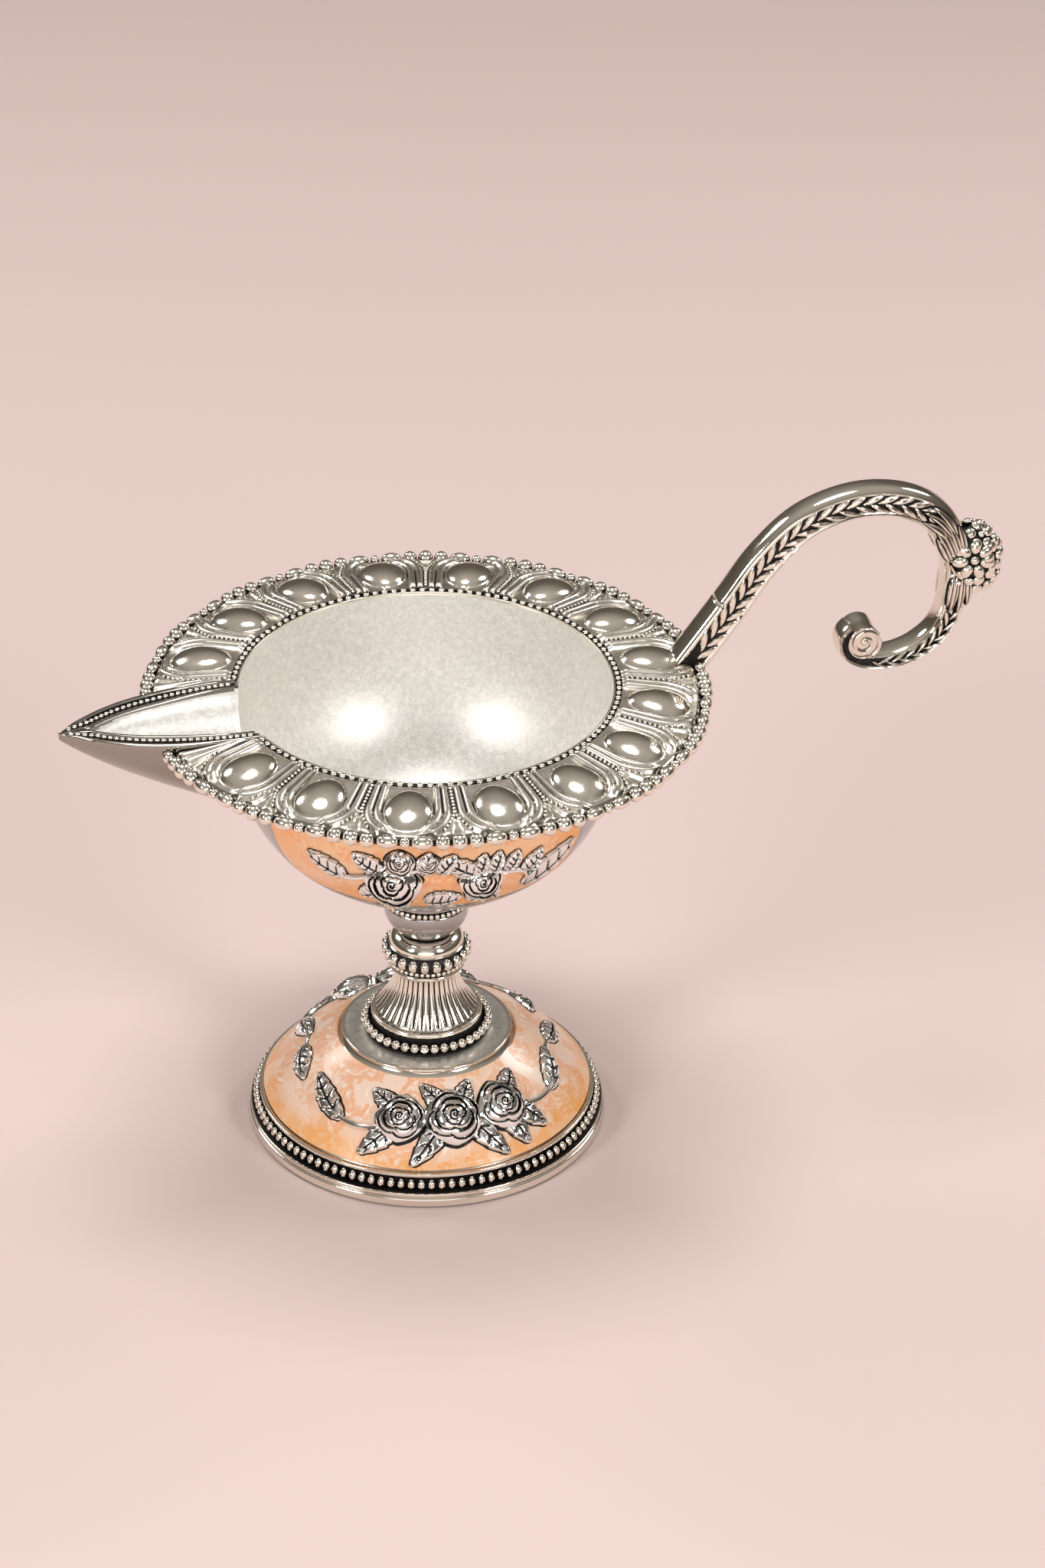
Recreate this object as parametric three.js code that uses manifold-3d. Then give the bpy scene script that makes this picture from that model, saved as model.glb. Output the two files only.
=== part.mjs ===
// A footed oil lamp with a beaked bowl, a lobed rim and a scroll handle.
// Millimetres, +Z up. The origin is the middle of the felt under the foot,
// the spout points to -X and the handle to +X.

import * as THREE from 'three';
import { mergeVertices } from 'three/addons/utils/BufferGeometryUtils.js';
import Module from 'manifold-3d';

const wasm = await Module();
wasm.setup();

// Clearance between separate pieces
const FIT = 0.3;

// Foot and dome of the base
const FOOT_RADIUS = 38;
const FOOT_RIM_WIDTH = 3;
const FOOT_ROLL_HEIGHT = 3.1;
const FOOT_EDGE_ROUND = 0.5;
const PAD_THICKNESS = 1.5;
const PAD_PROUD = 0.3;
const PAD_LEDGE_WIDTH = 1.6;
const FOOT_BEAD_RADIUS = 1;
const FOOT_BEAD_HEIGHT = 2.9;
const FOOT_BEAD_PITCH = 2.14;
const FOOT_LIP_SETBACK = 2.2;
const FOOT_LIP_WIDTH = 0.5;
const FOOT_LIP_HEIGHT = 0.8;
const DOME_RISE = 13.6;
const DOME_BULGE = 1.2;
const DOME_WALL = 1.6;
const ENAMEL_THICKNESS = 0.7;
const SKIN_START = 0.03;
const SKIN_END = 0.95;

// Stem, from the collar plate up to the neck
const PLATE_RADIUS = 18.1;
const PLATE_THICKNESS = 0.8;
const PLATE_OVERHANG = 1.2;
const COLLAR_RADIUS = 11.7;
const COLLAR_FLANGE_HEIGHT = 0.5;
const COLLAR_FLANGE_REACH = 1.6;
const COLLAR_BEAD_RADIUS = 1.05;
const TRUMPET_LIP_RADIUS = 11.8;
const TRUMPET_LIP_HEIGHT = 1.2;
const TRUMPET_FOOT_RADIUS = 11.3;
const TRUMPET_TOP_RADIUS = 6.7;
const TRUMPET_HEIGHT = 10.1;
const TRUMPET_CURVE = 1.9;
const TRUMPET_FLUTES = 36;
const FLUTE_DEPTH = 0.55;
const KNOP_RING_RADIUS = 7.6;
const KNOP_RING_HEIGHT = 1.8;
const KNOP_CORE_RADIUS = 7.1;
const KNOP_BEAD_RADIUS = 1.25;
const KNOP_SMALL_BEAD_RADIUS = 0.55;
const KNOP_DOME_RADIUS = 7.9;
const KNOP_DOME_HEIGHT = 2.9;
const NECK_RADIUS = 5.1;
const NECK_FLARE_HEIGHT = 7.4;
const NECK_FLARE_CURVE = 2.6;
const NECK_CUP_RADIUS = 9.1;
const NECK_CUP_HEIGHT = 7.2;
const NECK_BEAD_RADIUS = 0.7;

// Hidden clamp through the stem
const ROD_RADIUS = 2;
const ROD_TAIL = 1.5;
const NUT_RADIUS = 4.2;
const NUT_HEIGHT = 3.2;
const WASHER_RADIUS = 6;
const WASHER_THICKNESS = 1;
const BOSS_RADIUS = 3.9;
const BOSS_HEIGHT = 6;
const BOSS_ROOF = 1.5;

// Bowl and its enamel panels
const BOWL_RADIUS = 40.2;
const BOWL_WALL = 1.6;
const BOWL_HEIGHT = 45.2;
const BOWL_SHOULDER = 9;
const BOWL_FLATNESS = 2.3;
const BOWL_ROUNDNESS = 2.4;
const BOWL_SEAT_RADIUS = 10.4;
const PANEL_THICKNESS = 0.5;
const PANEL_CENTRE = 256;
const PANEL_SPAN = 110;
const PANEL_FOOT = 11;
const PANEL_TOP_MARGIN = 4.5;

// Rim flange, its lobes and bead wires
const RIM_WIDTH = 15.6;
const RIM_THICKNESS = 1.6;
const RIM_FALL = 1.8;
const RIM_DROP = 0.4;
const LOBE_COUNT = 15;
const LOBE_RISE = 2.2;
const LOBE_MIDDLE = 0.5;
const LOBE_INNER_SHARE = 0.42;
const LOBE_OUTER_SHARE = 0.385;
const RIB_RISE = 0.95;
const RIB_FOOT = 0.6;
const GROOVE_RISE = 0.15;
const FAN_RISE = 0.5;
const RIM_BEAD_RADIUS = 1.15;
const RIM_BEAD_HEIGHT = 3;
const RIM_BEADS_PER_LOBE = 4;
const OPENING_RING_HEIGHT = 0.9;

// Spout
const SPOUT_REACH = 76.8;
const SPOUT_HALF_WIDTH = 12;
const SPOUT_TAPER = 3;
const SPOUT_DEPTH = 21;
const SPOUT_KEEL_CURVE = 0.85;
const SPOUT_TIP_DEPTH = 1.2;
const SPOUT_TIP_RADIUS = 0.5;
const SPOUT_ROUNDNESS = 1.15;
const SPOUT_BORDER = 2;
const SPOUT_BEAD_EDGE = 0.6;
const SPOUT_BEAD_WIDTH = 1.2;
const SPOUT_BEAD_HEIGHT = 0.7;
const CHANNEL_DEPTH = 5.5;
const CHANNEL_TIP_DEPTH = 1;
const CHANNEL_CURVE = 0.8;
const CHANNEL_END = 0.93;
const CHANNEL_START = -0.25;

// Handle
const HANDLE_REACH = 56;
const HANDLE_RISE = 30.7;
const HANDLE_INSET = 0.7;
const HANDLE_WIDTH = 7;
const HANDLE_THICKNESS = 7.2;
const HANDLE_TAIL_THICKNESS = 3.6;
const HANDLE_SIDE_RECESS = 0.9;
const VOLUTE_RADIUS = 3.7;
const VOLUTE_WIDTH = 7.6;
const STUB_SHARE = 0.135;
const DOWEL_RADIUS = 1.5;
const DOWEL_LENGTH = 9;
const LEAF_LENGTH = 4.2;
const LEAF_RIDGE = 0.5;
const LAUREL_END = 0.86;
const FLOWER_RADIUS = 5.2;
const FLOWER_CUFF = 2.2;
const FLOWER_SPAN = 17;
const FLOWER_LEAD = 2;
const FLOWER_LEAF_LENGTH = 11;
const FLOWER_LEAF_WIDTH = 4.4;

// Cast sprays of roses
const ROSE_RADIUS = 4.5;
const ROSE_HEIGHT = 2.8;
const SPRAY_LEAF_WIDTH = 4;
const SPRAY_LEAF_THICKNESS = 0.9;
const SPRAY_STEM_RADIUS = 0.65;
const SPRAY_SIDES = ['front', 'back'];
const SPRAY_FRONT = 270;

// Facets
const ROUND = 36;
const STEM_ROUND = 24;
const ROD_ROUND = 12;
const BOWL_ROUND = 40;

// Length by which a cutting body runs past what it cuts
const CUT_PAST = 6;

const silver = { color: 0xc9c4ba, roughness: 0.22, metalness: 1 };
const satin = { color: 0xd9d5cb, roughness: 0.45, metalness: 1 };
const antique = { color: 0x8d877c, roughness: 0.35, metalness: 1 };
const blackened = { color: 0x1d1a18, roughness: 0.5, metalness: 0.8 };
const enamel = { color: 0xf0b184, roughness: 0.2, metalness: 0 };
const felt = { color: 0x1c1c20, roughness: 0.95, metalness: 0 };
const steel = { color: 0x9a9ca0, roughness: 0.35, metalness: 1 };

const lamp = new THREE.Group();

// Turn a closed geometry into a solid that can be joined and cut
function solid(geometry) {
  const bare = geometry.clone();
  bare.deleteAttribute('normal');
  bare.deleteAttribute('uv');
  const merged = mergeVertices(bare, 1e-4);
  const corners = [];
  for (let i = 0; i < merged.index.count; i += 3) {
    const [a, b, c] = [0, 1, 2].map((k) => merged.index.getX(i + k));
    if (a !== b && b !== c && c !== a) corners.push(a, b, c);
  }
  const vertProperties = new Float32Array(merged.attributes.position.array);
  const triVerts = new Uint32Array(corners);
  return new wasm.Manifold(new wasm.Mesh({ numProp: 3, vertProperties, triVerts }));
}

// Put a finished solid into the lamp under its name
function addPiece(name, body, look) {
  const mesh = body.getMesh();
  const geometry = new THREE.BufferGeometry();
  geometry.setAttribute('position', new THREE.BufferAttribute(new Float32Array(mesh.vertProperties), 3));
  geometry.setIndex(new THREE.BufferAttribute(new Uint32Array(mesh.triVerts), 1));
  geometry.computeVertexNormals();
  const piece = new THREE.Mesh(geometry, new THREE.MeshStandardMaterial(look));
  piece.name = name;
  lamp.add(piece);
}

// Revolve a closed profile of [radius, height] corners about the stem axis
function turnedGeometry(profile, segments) {
  const points = profile.map(([r, z]) => new THREE.Vector2(r, z));
  points.push(points[0].clone());
  return new THREE.LatheGeometry(points, segments).rotateX(Math.PI / 2);
}

function turned(profile, segments = ROUND) {
  return solid(turnedGeometry(profile, segments));
}

function tube(outer, inner, bottom, top, segments = ROUND) {
  return turned([[inner, bottom], [outer, bottom], [outer, top], [inner, top]], segments);
}

function disc(radius, bottom, top, segments = ROUND) {
  return turned([[0, bottom], [radius, bottom], [radius, top], [0, top]], segments);
}

// Ring of beads: a round wire whose section shrinks between neighbouring beads
function beadWire(ringRadius, height, depth, rise, count, sides, waist = 0.5) {
  const profile = [];
  for (let j = 0; j < sides; j += 1) {
    const a = (j / sides) * 2 * Math.PI;
    profile.push([ringRadius + depth * Math.cos(a), height + rise * Math.sin(a)]);
  }
  const geometry = turnedGeometry(profile, 2 * count);
  const p = geometry.attributes.position;
  for (let k = 0; k < p.count; k += 1) {
    const column = Math.floor(k / (sides + 1));
    if (column % 2 === 0) continue;
    const r = Math.hypot(p.getX(k), p.getY(k));
    const shrunk = ringRadius + (r - ringRadius) * waist;
    const z = height + (p.getZ(k) - height) * waist;
    p.setXYZ(k, (p.getX(k) / r) * shrunk, (p.getY(k) / r) * shrunk, z);
  }
  return solid(geometry);
}

// Closed body that follows a path: each station's section is placed by a function
function loft(sides, steps, place) {
  const geometry = new THREE.CylinderGeometry(1, 1, 1, sides, steps);
  const p = geometry.attributes.position;
  for (let k = 0; k < p.count; k += 1) {
    const along = Math.min(1, Math.max(0, 0.5 - p.getY(k)));
    const at = place(along, p.getX(k), p.getZ(k));
    p.setXYZ(k, at.x, at.y, at.z);
  }
  return solid(geometry);
}

// Heights of the base, from the felt upward
const footBottom = PAD_PROUD;
const rollTop = footBottom + FOOT_ROLL_HEIGHT;
const lipBottom = rollTop + FOOT_BEAD_HEIGHT;
const lipTop = lipBottom + FOOT_LIP_HEIGHT;
const domeTop = lipTop + DOME_RISE;
const lipRadius = FOOT_RADIUS - FOOT_LIP_SETBACK;
const enamelEdge = lipRadius - FOOT_LIP_WIDTH;
const beadGround = lipRadius - FOOT_BEAD_RADIUS + FIT;
const padHole = FOOT_RADIUS - FOOT_RIM_WIDTH;
const padLedge = padHole - PAD_LEDGE_WIDTH;
const boreRadius = ROD_RADIUS + FIT;
const platformRadius = PLATE_RADIUS - PLATE_OVERHANG;

// Point on the dome of the base: share 0 at its edge and 1 under the plate, sunk below the surface
const domeFoot = new THREE.Vector2(enamelEdge, lipTop);
const domeHead = new THREE.Vector2(PLATE_RADIUS, domeTop);
const domeChord = domeHead.clone().sub(domeFoot);
const domeOut = new THREE.Vector2(domeChord.y, -domeChord.x).normalize();

function domeNormal(share) {
  const slope = domeChord.clone().addScaledVector(domeOut, 4 * DOME_BULGE * (1 - 2 * share));
  return new THREE.Vector2(slope.y, -slope.x).normalize();
}

function domePoint(share, sunk = 0) {
  const at = domeFoot.clone().addScaledVector(domeChord, share);
  at.addScaledVector(domeOut, 4 * DOME_BULGE * share * (1 - share));
  return at.addScaledVector(domeNormal(share), -sunk);
}

function domeLine(sunk, from = 0, to = 1, steps = 3) {
  const line = [];
  for (let i = 0; i <= steps; i += 1) {
    const at = domePoint(from + ((to - from) * i) / steps, sunk);
    line.push([at.x, at.y]);
  }
  return line;
}

// Felt pad and base casting
addPiece('base_pad', disc(padHole - FIT, 0, PAD_THICKNESS), felt);

const skinGap = ENAMEL_THICKNESS + FIT;
const baseOutside = [
  [padHole, footBottom],
  [FOOT_RADIUS - FOOT_EDGE_ROUND, footBottom],
  [FOOT_RADIUS, footBottom + FOOT_EDGE_ROUND],
  [FOOT_RADIUS, rollTop - FOOT_EDGE_ROUND],
  [FOOT_RADIUS - FOOT_EDGE_ROUND, rollTop],
  [beadGround, rollTop],
  [beadGround, lipBottom],
  [lipRadius, lipBottom],
  [lipRadius, lipTop],
  [enamelEdge, lipTop],
  ...domeLine(skinGap, 0.02, 0.96),
  [platformRadius, domeTop],
  [boreRadius, domeTop],
];
const washerTop = domeTop - skinGap - DOME_WALL;
const baseInside = [
  [boreRadius, washerTop],
  [WASHER_RADIUS + FIT, washerTop],
  ...domeLine(skinGap + DOME_WALL, 0.1, 0.9, 2).reverse(),
  [padLedge, rollTop],
  [padLedge, PAD_THICKNESS],
  [padHole, PAD_THICKNESS],
];
addPiece('base_shell', turned([...baseOutside, ...baseInside]), silver);

const footWireRadius = beadGround + FIT + FOOT_BEAD_RADIUS;
const footBeads = Math.round((2 * Math.PI * footWireRadius) / FOOT_BEAD_PITCH);
const footWireHeight = (rollTop + lipBottom) / 2;
const footWireRise = FOOT_BEAD_HEIGHT / 2 - FIT / 2;
addPiece('foot_beads', beadWire(
  footWireRadius, footWireHeight, FOOT_BEAD_RADIUS, footWireRise, footBeads, 3,
), antique);

// Enamel skin of the base, held between the lip and the plate
const skinOutside = domeLine(0, SKIN_START, SKIN_END);
const skinInside = domeLine(ENAMEL_THICKNESS, SKIN_START, SKIN_END);
addPiece('base_enamel', turned([...skinOutside, ...skinInside.reverse()]), enamel);

// Collar plate, collar and its beads
const plateTop = domeTop + PLATE_THICKNESS;
addPiece('collar_plate', tube(PLATE_RADIUS, boreRadius, domeTop, plateTop), satin);

const collarGap = 2 * COLLAR_BEAD_RADIUS + FIT;
const collarTop = plateTop + 2 * COLLAR_FLANGE_HEIGHT + collarGap;
const collarFlange = COLLAR_RADIUS + COLLAR_FLANGE_REACH;
addPiece('collar_ring', turned([
  [boreRadius, plateTop],
  [collarFlange, plateTop],
  [collarFlange, plateTop + COLLAR_FLANGE_HEIGHT],
  [COLLAR_RADIUS, plateTop + COLLAR_FLANGE_HEIGHT],
  [COLLAR_RADIUS, collarTop],
  [boreRadius, collarTop],
], STEM_ROUND), blackened);

const collarWire = COLLAR_RADIUS + FIT + COLLAR_BEAD_RADIUS;
const collarBeads = Math.round((Math.PI * collarWire) / COLLAR_BEAD_RADIUS);
const collarBeadHeight = plateTop + COLLAR_FLANGE_HEIGHT + FIT + COLLAR_BEAD_RADIUS;
addPiece('collar_beads', beadWire(
  collarWire, collarBeadHeight, COLLAR_BEAD_RADIUS, COLLAR_BEAD_RADIUS, collarBeads, 4,
), silver);

// Fluted trumpet: a flared column whose every other line is sunk
const fluteBottom = collarTop + TRUMPET_LIP_HEIGHT;
const trumpetTop = fluteBottom + TRUMPET_HEIGHT;
const flareSteps = 3;
const trumpetProfile = [
  [boreRadius, collarTop],
  [TRUMPET_LIP_RADIUS, collarTop],
  [TRUMPET_LIP_RADIUS, fluteBottom],
];
const plainRows = trumpetProfile.length;
for (let i = 0; i <= flareSteps; i += 1) {
  const up = i / flareSteps;
  const spread = (TRUMPET_FOOT_RADIUS - TRUMPET_TOP_RADIUS) * Math.pow(1 - up, TRUMPET_CURVE);
  trumpetProfile.push([TRUMPET_TOP_RADIUS + spread, fluteBottom + up * TRUMPET_HEIGHT]);
}
trumpetProfile.push([boreRadius, trumpetTop]);
const trumpetShape = turnedGeometry(trumpetProfile, 2 * TRUMPET_FLUTES);
const trumpetAt = trumpetShape.attributes.position;
for (let k = 0; k < trumpetAt.count; k += 1) {
  const column = Math.floor(k / (trumpetProfile.length + 1));
  const row = k % (trumpetProfile.length + 1);
  const fluted = row >= plainRows && row < trumpetProfile.length - 1;
  if (column % 2 === 1 && fluted) {
    const r = Math.hypot(trumpetAt.getX(k), trumpetAt.getY(k));
    const sunk = (r - FLUTE_DEPTH) / r;
    trumpetAt.setXY(k, trumpetAt.getX(k) * sunk, trumpetAt.getY(k) * sunk);
  }
}
addPiece('trumpet', solid(trumpetShape), silver);

// Knop: ring, core with two bead wires, and polished dome
const knopRingTop = trumpetTop + KNOP_RING_HEIGHT;
const smallBeadHeight = knopRingTop + FIT + KNOP_SMALL_BEAD_RADIUS;
const largeBeadHeight = smallBeadHeight + KNOP_SMALL_BEAD_RADIUS + FIT + KNOP_BEAD_RADIUS;
const knopDomeBottom = largeBeadHeight + KNOP_BEAD_RADIUS + FIT;
const knopTop = knopDomeBottom + KNOP_DOME_HEIGHT;
const knopDome = [];
const knopSteps = 3;
for (let i = 0; i <= knopSteps; i += 1) {
  const turn = ((i / knopSteps) * Math.PI) / 2;
  const spread = (KNOP_DOME_RADIUS - NECK_RADIUS) * Math.cos(turn);
  knopDome.push([NECK_RADIUS + spread, knopDomeBottom + KNOP_DOME_HEIGHT * Math.sin(turn)]);
}
addPiece('knop', turned([
  [boreRadius, trumpetTop],
  [KNOP_CORE_RADIUS, trumpetTop],
  [KNOP_RING_RADIUS, trumpetTop + KNOP_RING_HEIGHT / 3],
  [KNOP_RING_RADIUS, knopRingTop - KNOP_RING_HEIGHT / 4],
  [KNOP_CORE_RADIUS, knopRingTop],
  [KNOP_CORE_RADIUS, knopDomeBottom],
  ...knopDome,
  [boreRadius, knopTop],
], STEM_ROUND), silver);

const knopWire = KNOP_CORE_RADIUS + FIT + KNOP_BEAD_RADIUS;
const knopBeads = Math.round((Math.PI * knopWire) / KNOP_BEAD_RADIUS);
addPiece('knop_beads', beadWire(
  knopWire, largeBeadHeight, KNOP_BEAD_RADIUS, KNOP_BEAD_RADIUS, knopBeads, 5,
), silver);
const knopSmallWire = KNOP_CORE_RADIUS + FIT + KNOP_SMALL_BEAD_RADIUS;
addPiece('knop_small_beads', beadWire(
  knopSmallWire, smallBeadHeight, KNOP_SMALL_BEAD_RADIUS, KNOP_SMALL_BEAD_RADIUS, STEM_ROUND / 2, 4, 1,
), antique);

// Neck cup with a bead wire in its groove, and the boss of the bowl inside it
const cupBottom = knopTop + NECK_FLARE_HEIGHT;
const bowlBottom = cupBottom + NECK_CUP_HEIGHT;
const neckGroove = cupBottom + FIT;
const neckGrooveTop = neckGroove + 2 * NECK_BEAD_RADIUS + FIT;
const neckGround = NECK_CUP_RADIUS - NECK_BEAD_RADIUS;
const bossBottom = bowlBottom - BOSS_HEIGHT;
const bossHole = BOSS_RADIUS + FIT;
const neckFlare = [];
for (let i = 0; i <= flareSteps; i += 1) {
  const up = i / flareSteps;
  const spread = (NECK_CUP_RADIUS - NECK_RADIUS) * (1 - Math.pow(1 - up, NECK_FLARE_CURVE));
  neckFlare.push([NECK_RADIUS + spread, knopTop + up * NECK_FLARE_HEIGHT]);
}
addPiece('neck_cup', turned([
  [boreRadius, knopTop],
  ...neckFlare,
  [neckGround, neckGroove],
  [neckGround, neckGrooveTop],
  [NECK_CUP_RADIUS, neckGrooveTop],
  [BOWL_SEAT_RADIUS - FIT, bowlBottom],
  [bossHole, bowlBottom],
  [bossHole, bossBottom - FIT],
  [boreRadius, bossBottom - FIT],
], STEM_ROUND), silver);
const neckWire = neckGround + FIT + NECK_BEAD_RADIUS;
addPiece('neck_beads', beadWire(
  neckWire, (neckGroove + neckGrooveTop) / 2, NECK_BEAD_RADIUS, NECK_BEAD_RADIUS, STEM_ROUND / 2, 4, 1,
), antique);

// Tie rod, washer and nut under the platform, boss under the bowl
const nutTop = washerTop - WASHER_THICKNESS;
const rodTop = bowlBottom - BOSS_ROOF - FIT;
const rodBottom = nutTop - NUT_HEIGHT - ROD_TAIL;
addPiece('base_washer', tube(WASHER_RADIUS, boreRadius, nutTop, washerTop, STEM_ROUND), steel);
addPiece('base_nut', solid(new THREE.CylinderGeometry(NUT_RADIUS, NUT_RADIUS, NUT_HEIGHT, 6)
  .rotateX(Math.PI / 2).translate(0, 0, nutTop - NUT_HEIGHT / 2))
  .subtract(solid(new THREE.CylinderGeometry(boreRadius, boreRadius, 2 * NUT_HEIGHT, ROD_ROUND)
    .rotateX(Math.PI / 2).translate(0, 0, nutTop - NUT_HEIGHT / 2))), steel);
addPiece('tie_rod', disc(ROD_RADIUS, rodBottom, rodTop, ROD_ROUND), steel);
addPiece('bowl_boss', turned([
  [boreRadius, bossBottom],
  [BOSS_RADIUS, bossBottom],
  [BOSS_RADIUS, bowlBottom],
  [0, bowlBottom],
  [0, bowlBottom - BOSS_ROOF],
  [boreRadius, bowlBottom - BOSS_ROOF],
], ROD_ROUND), steel);

// Bowl: a flat-bottomed round cup, described by its outside radius at each height
const rimZ = bowlBottom + BOWL_HEIGHT;
const bowlTop = rimZ - OPENING_RING_HEIGHT;
const shoulderZ = rimZ - BOWL_SHOULDER;

function bowlRadius(z) {
  const drop = Math.min(1, Math.max(0, (shoulderZ - z) / (shoulderZ - bowlBottom)));
  return BOWL_RADIUS * Math.pow(1 - Math.pow(drop, BOWL_FLATNESS), 1 / BOWL_ROUNDNESS);
}

// Wall line of the bowl moved outward by a distance, from its seat to its shoulder
function bowlLine(out, steps = 7) {
  const line = [];
  for (let i = 0; i <= steps; i += 1) {
    const turn = (i / steps) * (Math.PI / 2);
    const r = (BOWL_RADIUS + out) * Math.pow(Math.sin(turn), 2 / BOWL_ROUNDNESS);
    const depth = (shoulderZ - bowlBottom + out) * Math.pow(Math.cos(turn), 2 / BOWL_FLATNESS);
    line.push([r, shoulderZ - depth]);
  }
  return line.filter(([r]) => r > BOWL_SEAT_RADIUS);
}

// Everything inside the outside of the bowl moved outward, up to a height
function bowlBlock(out, top) {
  const floor = bowlBottom - out;
  const wall = [...bowlLine(out), [BOWL_RADIUS + out, top]];
  return turned([[0, floor], [BOWL_SEAT_RADIUS, floor], ...wall, [0, top]], BOWL_ROUND);
}

const opening = BOWL_RADIUS - BOWL_WALL;
const bowlShell = turned([
  [0, bowlBottom],
  [BOWL_SEAT_RADIUS, bowlBottom],
  ...bowlLine(0),
  [BOWL_RADIUS, bowlTop],
  [opening, bowlTop],
  ...bowlLine(-BOWL_WALL).reverse(),
  [BOWL_SEAT_RADIUS, bowlBottom + BOWL_WALL],
  [0, bowlBottom + BOWL_WALL],
], BOWL_ROUND);

// Spout: share 0 at the opening of the bowl, 1 at the tip
const spoutRun = SPOUT_REACH - opening;

function spoutHalfWidth(share) {
  const half = SPOUT_HALF_WIDTH * (1 - Math.pow(Math.max(0, share), SPOUT_TAPER));
  return Math.max(SPOUT_TIP_RADIUS, half);
}

function hullDepth(share) {
  const left = Math.min(1, Math.max(0, 1 - share));
  return SPOUT_TIP_DEPTH + SPOUT_DEPTH * Math.pow(left, SPOUT_KEEL_CURVE);
}

function channelHalfWidth(share) {
  return Math.max(SPOUT_TIP_RADIUS, spoutHalfWidth(share) - SPOUT_BORDER);
}

function channelDepth(share) {
  const left = Math.min(1, Math.max(0, 1 - share));
  return CHANNEL_TIP_DEPTH + CHANNEL_DEPTH * Math.pow(left, CHANNEL_CURVE);
}

// Trough-shaped body: rounded below the top of the spout, straight-sided above it up to a lift
const spoutTop = rimZ - SPOUT_BEAD_HEIGHT;
const spoutSides = 16;

function spoutBody(grow, to, halfWidth, depth, lift) {
  return loft(spoutSides, 10, (along, s, c) => {
    const share = CHANNEL_START + (to - CHANNEL_START) * along;
    const x = -(opening + share * spoutRun + (along === 1 ? grow : 0));
    const inside = Math.hypot(s, c) < 0.5;
    const raised = s > 0.1;
    const across = raised ? c / Math.cos((2 * Math.PI) / spoutSides) : c;
    const bulge = inside ? 0.3 : Math.pow(Math.max(0, -s), SPOUT_ROUNDNESS);
    const z = raised ? spoutTop + lift : spoutTop - bulge * (depth(share) + grow);
    return new THREE.Vector3(x, across * (halfWidth(share) + grow), z);
  });
}

const channel = spoutBody(0, CHANNEL_END, channelHalfWidth, channelDepth, CUT_PAST);
const spoutHull = spoutBody(0, 1, spoutHalfWidth, hullDepth, 0);
const spoutRoom = spoutBody(FIT, 1, spoutHalfWidth, hullDepth, CUT_PAST);
const bowlRoom = bowlBlock(FIT, rimZ + CUT_PAST);
addPiece('spout', spoutHull.subtract(channel).subtract(bowlRoom), silver);

// Bead strip that runs along both borders of the spout and meets at the tip
function borderOutline(inset) {
  const points = [];
  const steps = 12;
  for (let i = 0; i <= steps; i += 1) {
    const share = CHANNEL_START + ((1 - CHANNEL_START) * i) / steps;
    const half = spoutHalfWidth(share) - inset;
    if (half > SPOUT_TIP_RADIUS) points.push(new THREE.Vector2(-(opening + share * spoutRun), half));
  }
  const tip = points.at(-1);
  points.push(new THREE.Vector2(tip.x - tip.y, 0));
  const back = points.slice(0, -1).reverse().map((p) => new THREE.Vector2(p.x, -p.y));
  return new THREE.Shape([...points, ...back]);
}

function borderPlate(inset, bottom, height) {
  return solid(new THREE.ExtrudeGeometry(borderOutline(inset), { depth: height, bevelEnabled: false })
    .translate(0, 0, bottom));
}

const stripInner = SPOUT_BEAD_EDGE + SPOUT_BEAD_WIDTH;
addPiece('spout_beads', borderPlate(SPOUT_BEAD_EDGE, spoutTop, SPOUT_BEAD_HEIGHT)
  .subtract(borderPlate(stripInner, spoutTop - CUT_PAST, 2 * CUT_PAST))
  .subtract(bowlRoom), antique);

// Vertical wedge about the stem axis between two directions in degrees
function wedge(from, to, bottom, top) {
  const shape = new THREE.Shape();
  const reach = 2 * BOWL_RADIUS;
  const steps = 8;
  shape.moveTo(0, 0);
  for (let i = 0; i <= steps; i += 1) {
    const a = THREE.MathUtils.degToRad(from + ((to - from) * i) / steps);
    shape.lineTo(reach * Math.cos(a), reach * Math.sin(a));
  }
  shape.closePath();
  const extrusion = { depth: top - bottom, bevelEnabled: false };
  return solid(new THREE.ExtrudeGeometry(shape, extrusion).translate(0, 0, bottom));
}

// Enamel panels: a front one and its mirror image behind, let into the bowl
const panelBottom = bowlBottom + PANEL_FOOT;
const panelTop = rimZ - PANEL_TOP_MARGIN;
const panelDepth = PANEL_THICKNESS + FIT;
const ringTop = panelTop + CUT_PAST;
const recessRing = bowlBlock(2 * FIT, ringTop).subtract(bowlBlock(-panelDepth, ringTop + CUT_PAST));
const skinRing = bowlBlock(0, ringTop).subtract(bowlBlock(-PANEL_THICKNESS, ringTop + CUT_PAST));
const panelFits = { front: PANEL_CENTRE, back: 360 - PANEL_CENTRE };
const panelSlack = THREE.MathUtils.radToDeg(FIT / BOWL_RADIUS);
let bowlBody = bowlShell.subtract(channel);
for (const [side, centre] of Object.entries(panelFits)) {
  const from = centre - PANEL_SPAN / 2;
  const to = centre + PANEL_SPAN / 2;
  bowlBody = bowlBody.subtract(recessRing.intersect(wedge(from, to, panelBottom, panelTop)));
  const cutter = wedge(from + panelSlack, to - panelSlack, panelBottom + FIT, panelTop - FIT);
  addPiece(`enamel_${side}`, skinRing.intersect(cutter).subtract(spoutRoom), enamel);
}
addPiece('bowl', bowlBody, satin);

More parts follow.
